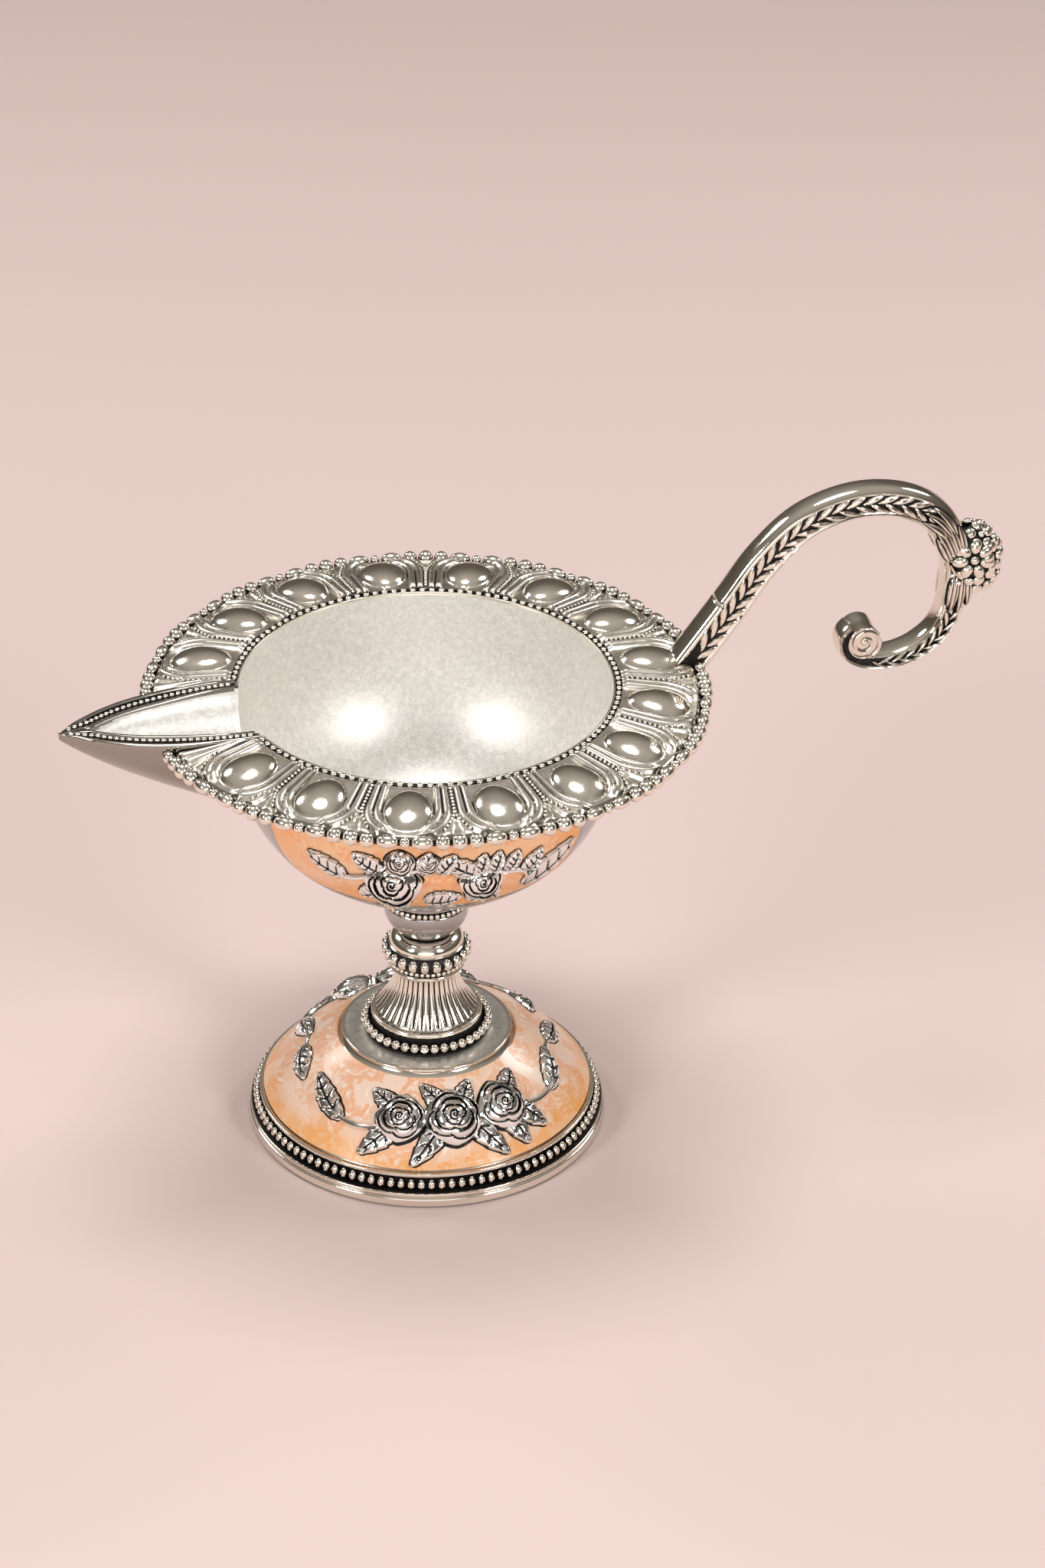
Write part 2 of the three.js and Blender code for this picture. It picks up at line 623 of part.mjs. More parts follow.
// Rim flange: fifteen lobes share the rim between both sides of the spout
const flangeInner = BOWL_RADIUS + FIT;
const flangeOuter = flangeInner + RIM_WIDTH;
const flangeTop = rimZ - RIM_DROP;
const gapHalf = Math.asin(SPOUT_HALF_WIDTH / BOWL_RADIUS);
const lobePitch = (2 * Math.PI - 2 * gapHalf) / LOBE_COUNT;
const lobeMiddle = flangeInner + RIM_WIDTH / 2;
const lobeHalf = (lobePitch * lobeMiddle) / 2;
const gapColumns = 4;

// Lines of a half lobe as shares of its half width: dome, its edge, rib, groove, rib, groove, fan
const lobeLines = [0, 0.27, 0.47, 0.57, 0.66, 0.755, 0.845, 0.93, 1];
const domeEdge = 3;
const ribLines = [4, 6];
const fanLine = lobeLines.length - 1;
const lobeSteps = 2 * fanLine;
const lobeColumns = LOBE_COUNT * lobeSteps;
const leastStep = 0.015 * lobeHalf;
const lobeRows = [1, 0.93, 0.84, 0.72, 0.58, 0.42, 0.25, 0.08, 0];

// Sideways places of the lines at a share out from the opening: straight legs that arch over the dome
function lobePlaces(outward) {
  const past = Math.max(0, outward - LOBE_MIDDLE) * RIM_WIDTH;
  const places = [0];
  for (let k = 1; k < fanLine; k += 1) {
    const beyond = Math.max(0, lobeLines[k] - lobeLines[domeEdge]) * lobeHalf;
    const far = LOBE_OUTER_SHARE * RIM_WIDTH + beyond;
    const arched = lobeLines[k] * lobeHalf * Math.sqrt(Math.max(0, 1 - (past / far) ** 2));
    places.push(Math.max(arched, places[k - 1] + leastStep));
  }
  places.push(lobeHalf);
  return places;
}

function lobeRise(line, sideways, outward) {
  if (line === fanLine) return FAN_RISE;
  if (ribLines.includes(line)) return RIB_RISE * Math.min(1, RIB_FOOT + 4 * outward);
  if (line > domeEdge) return GROOVE_RISE;
  const length = outward < LOBE_MIDDLE ? LOBE_INNER_SHARE : LOBE_OUTER_SHARE;
  const oval = Math.hypot(sideways / (lobeLines[domeEdge] * lobeHalf), (outward - LOBE_MIDDLE) / length);
  return Math.max(GROOVE_RISE, LOBE_RISE * Math.pow(Math.max(0, 1 - oval * oval), 0.6));
}

// Turn about the axis and rise of a column of the flange, at a share out from the opening
function flangePlace(column, outward) {
  if (column > lobeColumns) {
    const turn = Math.PI - gapHalf + ((column - lobeColumns) * 2 * gapHalf) / gapColumns;
    return { turn, rise: FAN_RISE };
  }
  const step = (column % lobeSteps) - fanLine;
  const line = Math.abs(step);
  const sideways = lobePlaces(outward)[line];
  const middle = Math.PI + gapHalf + (Math.floor(column / lobeSteps) + 0.5) * lobePitch;
  const turn = middle + (Math.sign(step) * sideways) / lobeMiddle;
  return { turn, rise: lobeRise(line, sideways, outward) };
}

const topRows = lobeRows.length;
const flangeProfile = lobeRows.map((outward) => (
  [flangeInner + RIM_WIDTH * outward, flangeTop - RIM_FALL * outward]
));
flangeProfile.push([flangeInner, flangeTop - RIM_THICKNESS]);
flangeProfile.push([flangeOuter, flangeTop - RIM_FALL - RIM_THICKNESS]);
const flangeShape = turnedGeometry(flangeProfile, lobeColumns + gapColumns);
const flangeAt = flangeShape.attributes.position;
for (let k = 0; k < flangeAt.count; k += 1) {
  const column = Math.floor(k / (flangeProfile.length + 1)) % (lobeColumns + gapColumns);
  const row = k % (flangeProfile.length + 1);
  const onTop = row < topRows || row === flangeProfile.length;
  const underRow = row === topRows ? topRows - 1 : 0;
  const outward = lobeRows[row < topRows ? row : underRow];
  const { turn, rise } = flangePlace(column, outward);
  const r = Math.hypot(flangeAt.getX(k), flangeAt.getY(k));
  flangeAt.setXYZ(k, r * Math.cos(turn), r * Math.sin(turn), flangeAt.getZ(k) + (onTop ? rise : 0));
}

// Handle: a curve in the middle plane that rises from the rim, hooks over and curls in
const handleRootX = flangeOuter + 2 * RIM_BEAD_RADIUS - HANDLE_INSET;

// Point of the handle's plane from shares of its reach beyond the rim and of its rise above it
function handleSpot([along, up]) {
  return new THREE.Vector3(handleRootX + along * HANDLE_REACH, 0, rimZ + up * HANDLE_RISE);
}

const handlePath = new THREE.CatmullRomCurve3([
  [-0.06, -0.15], [0, 0], [0.132, 0.329], [0.252, 0.638], [0.409, 0.893], [0.611, 1], [0.8, 0.945],
  [0.925, 0.788], [1, 0.469], [0.989, 0.111], [0.939, -0.078], [0.868, -0.182], [0.796, -0.231],
  [0.718, -0.241], [0.643, -0.218], [0.589, -0.15], [0.577, -0.046], [0.607, 0.02],
].map(handleSpot));
handlePath.arcLengthDivisions = 800;
const handleLength = handlePath.getLength();

function handleThickness(share) {
  const fade = THREE.MathUtils.smoothstep(share, 0.5, 1);
  return THREE.MathUtils.lerp(HANDLE_THICKNESS, HANDLE_TAIL_THICKNESS, fade);
}

// Frame of the handle at a share of its length: point, and direction to the back of the curve
function handleFrame(share) {
  const at = handlePath.getPointAt(share);
  const run = handlePath.getTangentAt(share);
  return { at, run, out: new THREE.Vector3(-run.z, 0, run.x) };
}

// Sixteen-cornered section of the bar: rounded back and front, flat sides with a shallow recess
const barOutward = [0, 0.5, 0.62, 0.92, 1];
const barSideways = [1, 1, 1, 0.64, 0];

function handleBar(from, to, steps, grow, recess) {
  return loft(16, steps, (along, s, c) => {
    const share = from + (to - from) * along;
    const { at, out } = handleFrame(share);
    const corner = Math.round(Math.asin(Math.min(1, Math.abs(s))) / (Math.PI / 8));
    const outward = Math.sign(s) * barOutward[corner] * (handleThickness(share) / 2 + grow);
    const side = HANDLE_WIDTH / 2 + grow - (corner < 2 ? recess : 0);
    const sideways = Math.sign(c) * barSideways[corner] * side;
    return at.addScaledVector(out, outward).add(new THREE.Vector3(0, -sideways, 0));
  });
}

// Room that the stub needs in the rim
const stubEnd = STUB_SHARE - FIT / handleLength;
const stubRoom = handleBar(0, STUB_SHARE, 4, FIT, 0);
const flange = solid(flangeShape).subtract(spoutRoom).subtract(stubRoom);
addPiece('rim_flange', flange, silver);

// Beaded edge of the rim
const rimWire = flangeOuter + FIT + RIM_BEAD_RADIUS;
const rimBeads = Math.round((RIM_BEADS_PER_LOBE * 2 * Math.PI) / lobePitch);
const rimWireZ = flangeTop - RIM_FALL - RIM_THICKNESS / 2;
const rimEdge = beadWire(rimWire, rimWireZ, RIM_BEAD_RADIUS, RIM_BEAD_HEIGHT / 2, rimBeads, 4)
  .subtract(spoutRoom).subtract(stubRoom);
addPiece('rim_beads_front', rimEdge.intersect(wedge(180, 360, 0, 2 * rimZ)), silver);
addPiece('rim_beads_back', rimEdge.intersect(wedge(0, 180, 0, 2 * rimZ)), silver);

// Bead ring on the edge of the opening
addPiece('opening_ring', turned([
  [opening, bowlTop],
  [BOWL_RADIUS, bowlTop],
  [BOWL_RADIUS, bowlTop + OPENING_RING_HEIGHT * 0.5],
  [(opening + BOWL_RADIUS) / 2, rimZ],
  [opening, bowlTop + OPENING_RING_HEIGHT * 0.5],
], BOWL_ROUND).subtract(spoutRoom), antique);

// Stub, scroll with its volute, and the dowel that joins them
const seam = handleFrame(STUB_SHARE);

function alongSeam(radius, length, sides) {
  const turn = new THREE.Quaternion().setFromUnitVectors(new THREE.Vector3(0, 1, 0), seam.run);
  return solid(new THREE.CylinderGeometry(radius, radius, length, sides)
    .applyQuaternion(turn).translate(seam.at.x, 0, seam.at.z));
}

const dowelBore = alongSeam(DOWEL_RADIUS + FIT, DOWEL_LENGTH + 2 * FIT, ROD_ROUND);
addPiece('handle_dowel', alongSeam(DOWEL_RADIUS, DOWEL_LENGTH, ROD_ROUND), steel);
addPiece('handle_stub', handleBar(0, stubEnd, 4, 0, HANDLE_SIDE_RECESS).subtract(dowelBore), silver);

const voluteEye = handleSpot([0.643, -0.06]);
const volute = solid(new THREE.CylinderGeometry(VOLUTE_RADIUS, VOLUTE_RADIUS, VOLUTE_WIDTH, 20)
  .translate(voluteEye.x, 0, voluteEye.z));
const scroll = handleBar(STUB_SHARE, 1, 34, 0, HANDLE_SIDE_RECESS).add(volute).subtract(dowelBore);
addPiece('handle_scroll', scroll, silver);

// Flower cluster: a cuff round the back of the hook with a rosette on each side and one behind
const shares = Array.from({ length: 201 }, (_, i) => i / 200);
const farthest = shares.reduce((best, share) => (
  handlePath.getPointAt(share).x > handlePath.getPointAt(best).x ? share : best
));
const hookShare = farthest - FLOWER_LEAD / handleLength;
const cuffHalf = FLOWER_SPAN / 2 / handleLength;
const hookFrame = handleFrame(hookShare);
const hookHalf = handleThickness(hookShare) / 2;
const barRoom = handleBar(hookShare - 2 * cuffHalf, hookShare + 2 * cuffHalf, 12, FIT, 0);
const innerRoom = loft(4, 6, (along, s, c) => {
  const { at, out } = handleFrame(hookShare + (2 * along - 1) * 2 * cuffHalf);
  const outward = -hookHalf * 1.2 + s * hookHalf * 1.4;
  return at.addScaledVector(out, outward).add(new THREE.Vector3(0, -c * 4 * HANDLE_WIDTH, 0));
});

function rosette(centre, facing) {
  const turn = new THREE.Quaternion().setFromUnitVectors(new THREE.Vector3(0, 0, 1), facing);
  const put = (geometry) => solid(geometry.applyQuaternion(turn).translate(centre.x, centre.y, centre.z));
  let flower = put(new THREE.IcosahedronGeometry(FLOWER_RADIUS * 0.5, 0));
  const petals = 6;
  for (let i = 0; i < petals; i += 1) {
    const petal = new THREE.OctahedronGeometry(FLOWER_RADIUS * 0.5, 0).scale(1.1, 1, 0.8);
    petal.translate(FLOWER_RADIUS * 0.58, 0, 0).rotateZ((i / petals) * 2 * Math.PI);
    flower = flower.add(put(petal));
  }
  return flower;
}

const sideways = new THREE.Vector3(0, 1, 0);
const flowerLeafOut = HANDLE_WIDTH / 2 + 2 * FIT + FLOWER_CUFF / 2;
const flowerBack = hookFrame.at.clone().addScaledVector(hookFrame.out, hookHalf + FLOWER_CUFF);
let flowers = handleBar(hookShare - cuffHalf, hookShare + cuffHalf, 5, FIT + FLOWER_CUFF, 0)
  .add(rosette(flowerBack, hookFrame.out));
for (const side of [-1, 1]) {
  const centre = hookFrame.at.clone().addScaledVector(hookFrame.out, hookHalf * 0.5);
  centre.addScaledVector(sideways, side * (HANDLE_WIDTH / 2 + FLOWER_CUFF * 0.6));
  flowers = flowers.add(rosette(centre, sideways.clone().multiplyScalar(side)));
  for (const end of [-1, 1]) {
    const { at, run, out } = handleFrame(hookShare + end * cuffHalf);
    at.addScaledVector(out, hookHalf * 0.4).addScaledVector(sideways, side * flowerLeafOut);
    const leaf = new THREE.OctahedronGeometry(1, 0);
    leaf.scale(FLOWER_LEAF_WIDTH / 2, FLOWER_CUFF / 2, FLOWER_LEAF_LENGTH / 2);
    leaf.applyMatrix4(new THREE.Matrix4().makeBasis(out, new THREE.Vector3().crossVectors(run, out), run));
    flowers = flowers.add(solid(leaf.translate(at.x, at.y, at.z)));
  }
}
flowers = flowers.subtract(innerRoom).subtract(barRoom);
addPiece('handle_flowers', flowers, silver);

// Laurel bands in the side recesses: a ridged strip that swells at each leaf
const cuffGap = FIT / handleLength;
const laurelSpans = {
  upper: [STUB_SHARE * 0.55, hookShare - cuffHalf - cuffGap],
  lower: [hookShare + cuffHalf + cuffGap, LAUREL_END],
};
const laurelFace = HANDLE_WIDTH / 2 - HANDLE_SIDE_RECESS + FIT + LEAF_RIDGE;
for (const [span, [from, to]] of Object.entries(laurelSpans)) {
  const leaves = Math.max(2, Math.round(((to - from) * handleLength) / LEAF_LENGTH));
  for (const [name, side] of [['right', -1], ['left', 1]]) {
    const strip = loft(4, 2 * leaves, (along, s, c) => {
      const share = from + (to - from) * along;
      const { at, out } = handleFrame(share);
      const swell = Math.round(along * 2 * leaves) % 2 === 1 ? 0.5 : 0.26;
      const outward = s * swell * (handleThickness(share) / 2);
      at.addScaledVector(out, outward);
      return at.addScaledVector(sideways, side * laurelFace - c * LEAF_RIDGE);
    });
    addPiece(`laurel_${span}_${name}`, strip.subtract(flowers), antique);
  }
}

// Cast sprays: roses, leaves and a stem laid on a round surface, each seated just clear of it
function roseShape(size) {
  const geometry = turnedGeometry([
    [0, 0],
    [ROSE_RADIUS * 0.9, 0],
    [ROSE_RADIUS, ROSE_HEIGHT * 0.4],
    [ROSE_RADIUS * 0.66, ROSE_HEIGHT * 0.5],
    [ROSE_RADIUS * 0.6, ROSE_HEIGHT * 0.9],
    [0, ROSE_HEIGHT],
  ], 10);
  const p = geometry.attributes.position;
  const corners = p.count / 11;
  for (let k = 0; k < p.count; k += 1) {
    const petal = Math.floor(k / corners) % 2 === 1 ? 0.9 : 1.04;
    p.setXYZ(k, p.getX(k) * petal * size, p.getY(k) * petal * size, p.getZ(k) * size);
  }
  return geometry;
}

function spray(surface, layout) {
  const stemLine = layout.stem.map((spot) => {
    const f = surface(...spot);
    return f.at.addScaledVector(f.out, 2 * FIT + SPRAY_STEM_RADIUS);
  });
  const stemSection = new THREE.Shape([
    new THREE.Vector2(SPRAY_STEM_RADIUS, 0),
    new THREE.Vector2(0, SPRAY_STEM_RADIUS),
    new THREE.Vector2(-SPRAY_STEM_RADIUS, 0),
    new THREE.Vector2(0, -SPRAY_STEM_RADIUS),
  ]);
  const extrusion = { steps: 2 * stemLine.length, extrudePath: new THREE.CatmullRomCurve3(stemLine) };
  let body = solid(new THREE.ExtrudeGeometry(stemSection, extrusion));
  for (const [spot, size] of layout.roses) {
    const f = surface(...spot);
    const turn = new THREE.Quaternion().setFromUnitVectors(new THREE.Vector3(0, 0, 1), f.out);
    const seat = f.at.addScaledVector(f.out, FIT);
    body = body.add(solid(roseShape(size).applyQuaternion(turn).translate(seat.x, seat.y, seat.z)));
  }
  for (const [root, tip] of layout.leaves) {
    const along = surface(...tip).at.sub(surface(...root).at);
    const length = along.length();
    const mid = surface((root[0] + tip[0]) / 2, (root[1] + tip[1]) / 2);
    const across = new THREE.Vector3().crossVectors(mid.out, along).normalize();
    along.crossVectors(across, mid.out);
    const width = Math.min(SPRAY_LEAF_WIDTH, length * 0.6);
    const leaf = new THREE.ConeGeometry(1, SPRAY_LEAF_THICKNESS, 4).rotateX(Math.PI / 2);
    leaf.translate(0, 0, SPRAY_LEAF_THICKNESS / 2).scale(length / 2, width / 2, 1);
    leaf.applyMatrix4(new THREE.Matrix4().makeBasis(along, across, mid.out));
    const seat = mid.at.addScaledVector(mid.out, FIT);
    body = body.add(solid(leaf.translate(seat.x, seat.y, seat.z)));
  }
  return body;
}

// Spots on the dome: across in shares of the room of one spray, up in shares of the dome
const sprayRoom = 360 / SPRAY_SIDES.length;

function domeSpot(centre) {
  return (across, up) => {
    const a = THREE.MathUtils.degToRad(centre + across * sprayRoom);
    const at = domePoint(up);
    const n = domeNormal(up);
    return {
      at: new THREE.Vector3(at.x * Math.cos(a), at.x * Math.sin(a), at.y),
      out: new THREE.Vector3(n.x * Math.cos(a), n.x * Math.sin(a), n.y),
    };
  };
}

// Spots on the bowl: across in shares of the panel's span, up in shares of its height
function bowlSpot(centre, mirror) {
  return (across, up) => {
    const a = THREE.MathUtils.degToRad(centre + mirror * across * PANEL_SPAN);
    const z = panelBottom + up * (panelTop - panelBottom);
    const r = bowlRadius(z);
    const slope = (bowlRadius(z + FIT) - bowlRadius(z - FIT)) / (2 * FIT);
    const n = new THREE.Vector2(1, -slope).normalize();
    return {
      at: new THREE.Vector3(r * Math.cos(a), r * Math.sin(a), z),
      out: new THREE.Vector3(n.x * Math.cos(a), n.x * Math.sin(a), n.y),
    };
  };
}

const domeSpray = {
  stem: [
    [-0.37, 0.5], [-0.29, 0.38], [-0.23, 0.36], [-0.17, 0.42], [-0.07, 0.5], [0, 0.52], [0.07, 0.5],
    [0.16, 0.45], [0.22, 0.4], [0.28, 0.42], [0.33, 0.52],
  ],
  roses: [[[-0.142, 0.56], 1], [[-0.006, 0.59], 1.06], [[0.127, 0.58], 1]],
  leaves: [
    [[-0.28, 0.36], [-0.43, 0.63]], [[-0.13, 0.56], [-0.24, 0.76]], [[-0.14, 0.5], [-0.22, 0.1]],
    [[-0.02, 0.6], [-0.11, 0.05]], [[0.01, 0.6], [0.09, 0.06]], [[0.11, 0.6], [0.14, 0.08]],
    [[0.14, 0.58], [0.2, 0.15]], [[-0.01, 0.58], [-0.1, 0.88]], [[0, 0.6], [0.06, 0.88]],
    [[0.13, 0.58], [0.21, 0.82]], [[0.27, 0.38], [0.39, 0.66]],
  ],
};
SPRAY_SIDES.forEach((side, i) => {
  addPiece(`base_spray_${side}`, spray(domeSpot(SPRAY_FRONT + i * sprayRoom), domeSpray), antique);
});

const bowlSpray = {
  stem: [
    [-0.35, 0.4], [-0.27, 0.27], [-0.18, 0.24], [-0.1, 0.28], [0.04, 0.3], [0.15, 0.28], [0.24, 0.25],
    [0.3, 0.27], [0.38, 0.42],
  ],
  roses: [[[-0.1, 0.27], 1], [[0.145, 0.29], 0.86]],
  leaves: [
    [[-0.25, 0.24], [-0.38, 0.48]], [[-0.1, 0.28], [-0.23, 0.54]], [[-0.09, 0.28], [-0.05, 0.62]],
    [[-0.08, 0.28], [0.05, 0.55]], [[-0.08, 0.27], [0.09, 0.08]], [[-0.11, 0.27], [-0.25, 0.08]],
    [[0.14, 0.28], [0.06, 0.56]], [[0.15, 0.29], [0.23, 0.56]], [[0.16, 0.28], [0.28, 0.08]],
    [[0.28, 0.26], [0.45, 0.5]],
  ],
};
for (const [side, centre] of Object.entries(panelFits)) {
  const mirror = side === 'front' ? 1 : -1;
  addPiece(`bowl_spray_${side}`, spray(bowlSpot(centre, mirror), bowlSpray), antique);
}

export default lamp;
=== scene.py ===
"""Visual model of a footed oil lamp: silver casting, peach enamel, a lobed rim, a spout and a scroll handle."""

import math

import bmesh
import bpy
from bpy.props import FloatProperty, FloatVectorProperty, IntProperty, PointerProperty
from mathutils import Matrix, Vector


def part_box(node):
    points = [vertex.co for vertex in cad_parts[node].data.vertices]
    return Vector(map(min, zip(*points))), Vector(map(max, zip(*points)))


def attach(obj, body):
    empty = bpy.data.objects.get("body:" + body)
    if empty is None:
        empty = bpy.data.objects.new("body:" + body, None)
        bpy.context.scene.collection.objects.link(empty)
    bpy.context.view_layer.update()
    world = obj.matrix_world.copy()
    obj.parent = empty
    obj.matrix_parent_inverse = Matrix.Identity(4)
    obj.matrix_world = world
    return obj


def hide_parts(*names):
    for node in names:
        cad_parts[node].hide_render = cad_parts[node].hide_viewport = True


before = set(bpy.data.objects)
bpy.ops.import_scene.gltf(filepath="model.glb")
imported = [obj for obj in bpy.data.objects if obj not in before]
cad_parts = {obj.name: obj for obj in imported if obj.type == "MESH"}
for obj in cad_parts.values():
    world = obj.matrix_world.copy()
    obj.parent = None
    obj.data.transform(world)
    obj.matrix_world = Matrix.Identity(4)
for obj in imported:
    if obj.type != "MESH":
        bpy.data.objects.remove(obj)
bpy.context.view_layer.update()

bl_info = {
    "name": "Footed Oil Lamp",
    "version": (1, 0, 0),
    "blender": (4, 5, 0),
    "location": "View3D > Sidebar > Oil Lamp",
    "description": "Builds a silver and enamel oil lamp around its packed solids",
    "category": "Add Mesh",
}

# Frame of the lamp
BODY = "root"
MM = 0.001
UP = Vector((0, 0, 1))


def span(node):
    """Lowest and highest corner of a solid, in millimetres."""
    low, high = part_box(node)
    return low / MM, high / MM


# Foot and dome, in millimetres
FOOT_BOTTOM = span("base_shell")[0].z
FOOT_RADIUS = span("base_shell")[1].x
DOME_TOP = span("base_shell")[1].z
ROLL_TOP = FOOT_BOTTOM + 3.1
LIP_BOTTOM = ROLL_TOP + 2.9
LIP_TOP = LIP_BOTTOM + 0.8
LIP_RADIUS = FOOT_RADIUS - 2.2
BEAD_GROUND = FOOT_RADIUS - 2.9
ENAMEL_EDGE = LIP_RADIUS - 0.5
DOME_BULGE = 1.2
ENAMEL_THICKNESS = 0.7
ENAMEL_START = 0.03
ENAMEL_END = 0.95
ROD_RADIUS = 2.3
PAD_EDGE = 34.85
PLATFORM_THICKNESS = 2.6

# Stem, in millimetres
PLATE_RADIUS = span("collar_plate")[1].x
PLATE_TOP = span("collar_plate")[1].z
COLLAR_TOP = span("collar_ring")[1].z
COLLAR_REACH = span("collar_ring")[1].x
PLATE_HOLE = 10.3
COLLAR_HOLE = 9.8
COLLAR_GROUND = 11.8
COLLAR_BEAD_RADIUS = 12.95
FLUTE_BOTTOM = COLLAR_TOP + 1.2
TRUMPET_TOP = span("trumpet")[1].z
TRUMPET_LIP = span("trumpet")[1].x
TRUMPET_NARROW = 6.7
TRUMPET_WIDE = 11.3
TRUMPET_HOLE = 5.4
FLUTE_LEAST = 6.0
LIP_HOLE = 9.6
KNOP_TOP = span("knop")[1].z
KNOP_RING_TOP = TRUMPET_TOP + 1.8
KNOP_DOME_BOTTOM = KNOP_TOP - 2.9
KNOP_RING_RADIUS = 8.1
KNOP_BEAD_RADIUS = 8.55
STEM_HOLE = 3.5
NECK_RADIUS = 5.1
CUP_RADIUS = 9.1
CUP_REACH = 10.1
CUP_BEADS = 46
CUP_BOTTOM = KNOP_TOP + 7.4

# Bowl, in millimetres
BOWL_BOTTOM = span("bowl")[0].z
BOWL_TOP = span("bowl")[1].z
BOWL_RADIUS = span("bowl")[1].y
BOWL_WALL = 1.6
BOWL_SHOULDER = BOWL_TOP - 8.1
BOWL_FLATNESS = 2.3
BOWL_ROUNDNESS = 2.4
PANEL_CENTRE = 256.0
PANEL_SPAN = 110.0
PANEL_BOTTOM = BOWL_BOTTOM + 11.0
PANEL_TOP = BOWL_TOP - 3.6
PANEL_RECESS = 0.5

# Rim, in millimetres
RIM_TOP = span("opening_ring")[1].z
FLANGE_TOP = RIM_TOP - 0.4
FLANGE_INNER = BOWL_RADIUS + 0.2
FLANGE_OUTER = span("rim_flange")[1].y
FLANGE_FALL = 1.8
FLANGE_THICKNESS = 1.6
EDGE_RADIUS = span("rim_beads_front")[0].y * -1 - 1.15
EDGE_HEIGHT = (span("rim_beads_front")[0].z + span("rim_beads_front")[1].z) / 2

# Spout, in millimetres
SPOUT_REACH = -span("spout")[0].x
SPOUT_TOP = span("spout")[1].z
SPOUT_HALF = span("spout")[1].y
SPOUT_DEPTH = 21.0
SPOUT_START = BOWL_RADIUS - BOWL_WALL
CHANNEL_DEPTH = 5.5
BORDER_START = 3.0
BORDER_WIDTH = 4.8
SPOUT_GAP = math.degrees(math.asin(SPOUT_HALF / BOWL_RADIUS))

# Handle, in millimetres: shares of its reach and rise from its root
HANDLE_ROOT = 57.7
HANDLE_REACH = 56.0
HANDLE_RISE = 30.7
HANDLE_HALF_WIDTH = 3.5
HANDLE_THICK = 7.2
HANDLE_THIN = 3.6
HANDLE_SWELL = 0.8
HANDLE_STUB = 0.135
HANDLE_LINE = (
    (-0.06, -0.15), (0.0, 0.0), (0.132, 0.329), (0.252, 0.638), (0.409, 0.893), (0.611, 1.0),
    (0.8, 0.945), (0.925, 0.788), (1.0, 0.469), (0.989, 0.111), (0.939, -0.078), (0.868, -0.182),
    (0.796, -0.231), (0.718, -0.241), (0.643, -0.218), (0.589, -0.15), (0.577, -0.046), (0.607, 0.02),
)
VOLUTE_EYE = (0.643, -0.06)
VOLUTE_RADIUS = 3.7
VOLUTE_HALF_WIDTH = 3.8

# Sprays: stems, roses and leaves as shares across and up their panel
BASE_SPRAY = {
    "tilt": 0.0,
    "stem": ((-0.37, 0.5), (-0.29, 0.38), (-0.23, 0.36), (-0.17, 0.42), (-0.07, 0.5), (0.0, 0.52),
             (0.07, 0.5), (0.16, 0.45), (0.22, 0.4), (0.28, 0.42), (0.33, 0.52), (0.385, 0.62), (0.44, 0.6)),
    "roses": ((-0.142, 0.51, 1.2), (-0.014, 0.52, 1.4), (0.117, 0.53, 1.26)),
    "leaves": ((-0.28, 0.36, -0.43, 0.63, 1.0), (-0.13, 0.56, -0.24, 0.76, 1.0), (-0.14, 0.5, -0.22, 0.1, 1.0),
               (-0.02, 0.6, -0.11, 0.05, 1.0), (0.01, 0.6, 0.09, 0.06, 1.0), (0.11, 0.6, 0.14, 0.08, 1.0),
               (0.14, 0.58, 0.2, 0.15, 1.0), (-0.01, 0.58, -0.1, 0.88, 1.0), (0.0, 0.6, 0.06, 0.88, 1.0),
               (0.13, 0.58, 0.21, 0.82, 1.0), (0.27, 0.38, 0.39, 0.66, 1.0), (0.43, 0.6, 0.55, 0.46, 1.0)),
}
BOWL_SPRAY = {
    "tilt": 0.5,
    "stem": ((-0.3, 0.38), (-0.236, 0.31), (-0.18, 0.34), (-0.1, 0.42), (0.038, 0.47), (0.144, 0.42),
             (0.213, 0.37), (0.28, 0.32), (0.31, 0.2)),
    "roses": ((-0.092, 0.335, 1.3), (0.152, 0.32, 1.02), (-0.072, 0.52, 0.7), (0.004, 0.52, 0.55)),
    "leaves": ((-0.23, 0.3, -0.35, 0.45, 1.1), (-0.12, 0.41, -0.205, 0.55, 1.1), (-0.08, 0.4, -0.066, 0.62, 0.85),
               (-0.01, 0.41, 0.008, 0.62, 0.85), (0.03, 0.42, 0.078, 0.59, 0.85), (0.144, 0.377, 0.043, 0.55, 1.0),
               (0.142, 0.38, 0.158, 0.57, 0.7), (0.183, 0.37, 0.2, 0.57, 0.75), (0.227, 0.36, 0.255, 0.54, 0.75),
               (0.28, 0.31, 0.335, 0.49, 0.8), (0.3, 0.14, 0.46, 0.42, 1.4), (-0.01, 0.12, 0.105, 0.165, 1.2),
               (0.149, 0.29, 0.13, 0.09, 0.9), (0.16, 0.29, 0.225, 0.07, 0.9), (-0.12, 0.24, -0.21, 0.14, 1.1),
               (-0.08, 0.2, -0.06, 0.04, 0.9)),
}

# Rings of petals of a rose: share of its radius, petals and turn
ROSE_RINGS = ((0.2, 2, 0.1), (0.37, 3, 0.35), (0.6, 3, 0.85), (0.87, 4, 0.2))

# Mesh fineness
ROUND_STEPS = 4
TURN_STEPS = 144
SHARP_ANGLE = math.radians(42)
MERGE_GAP = 0.0005


# Settings


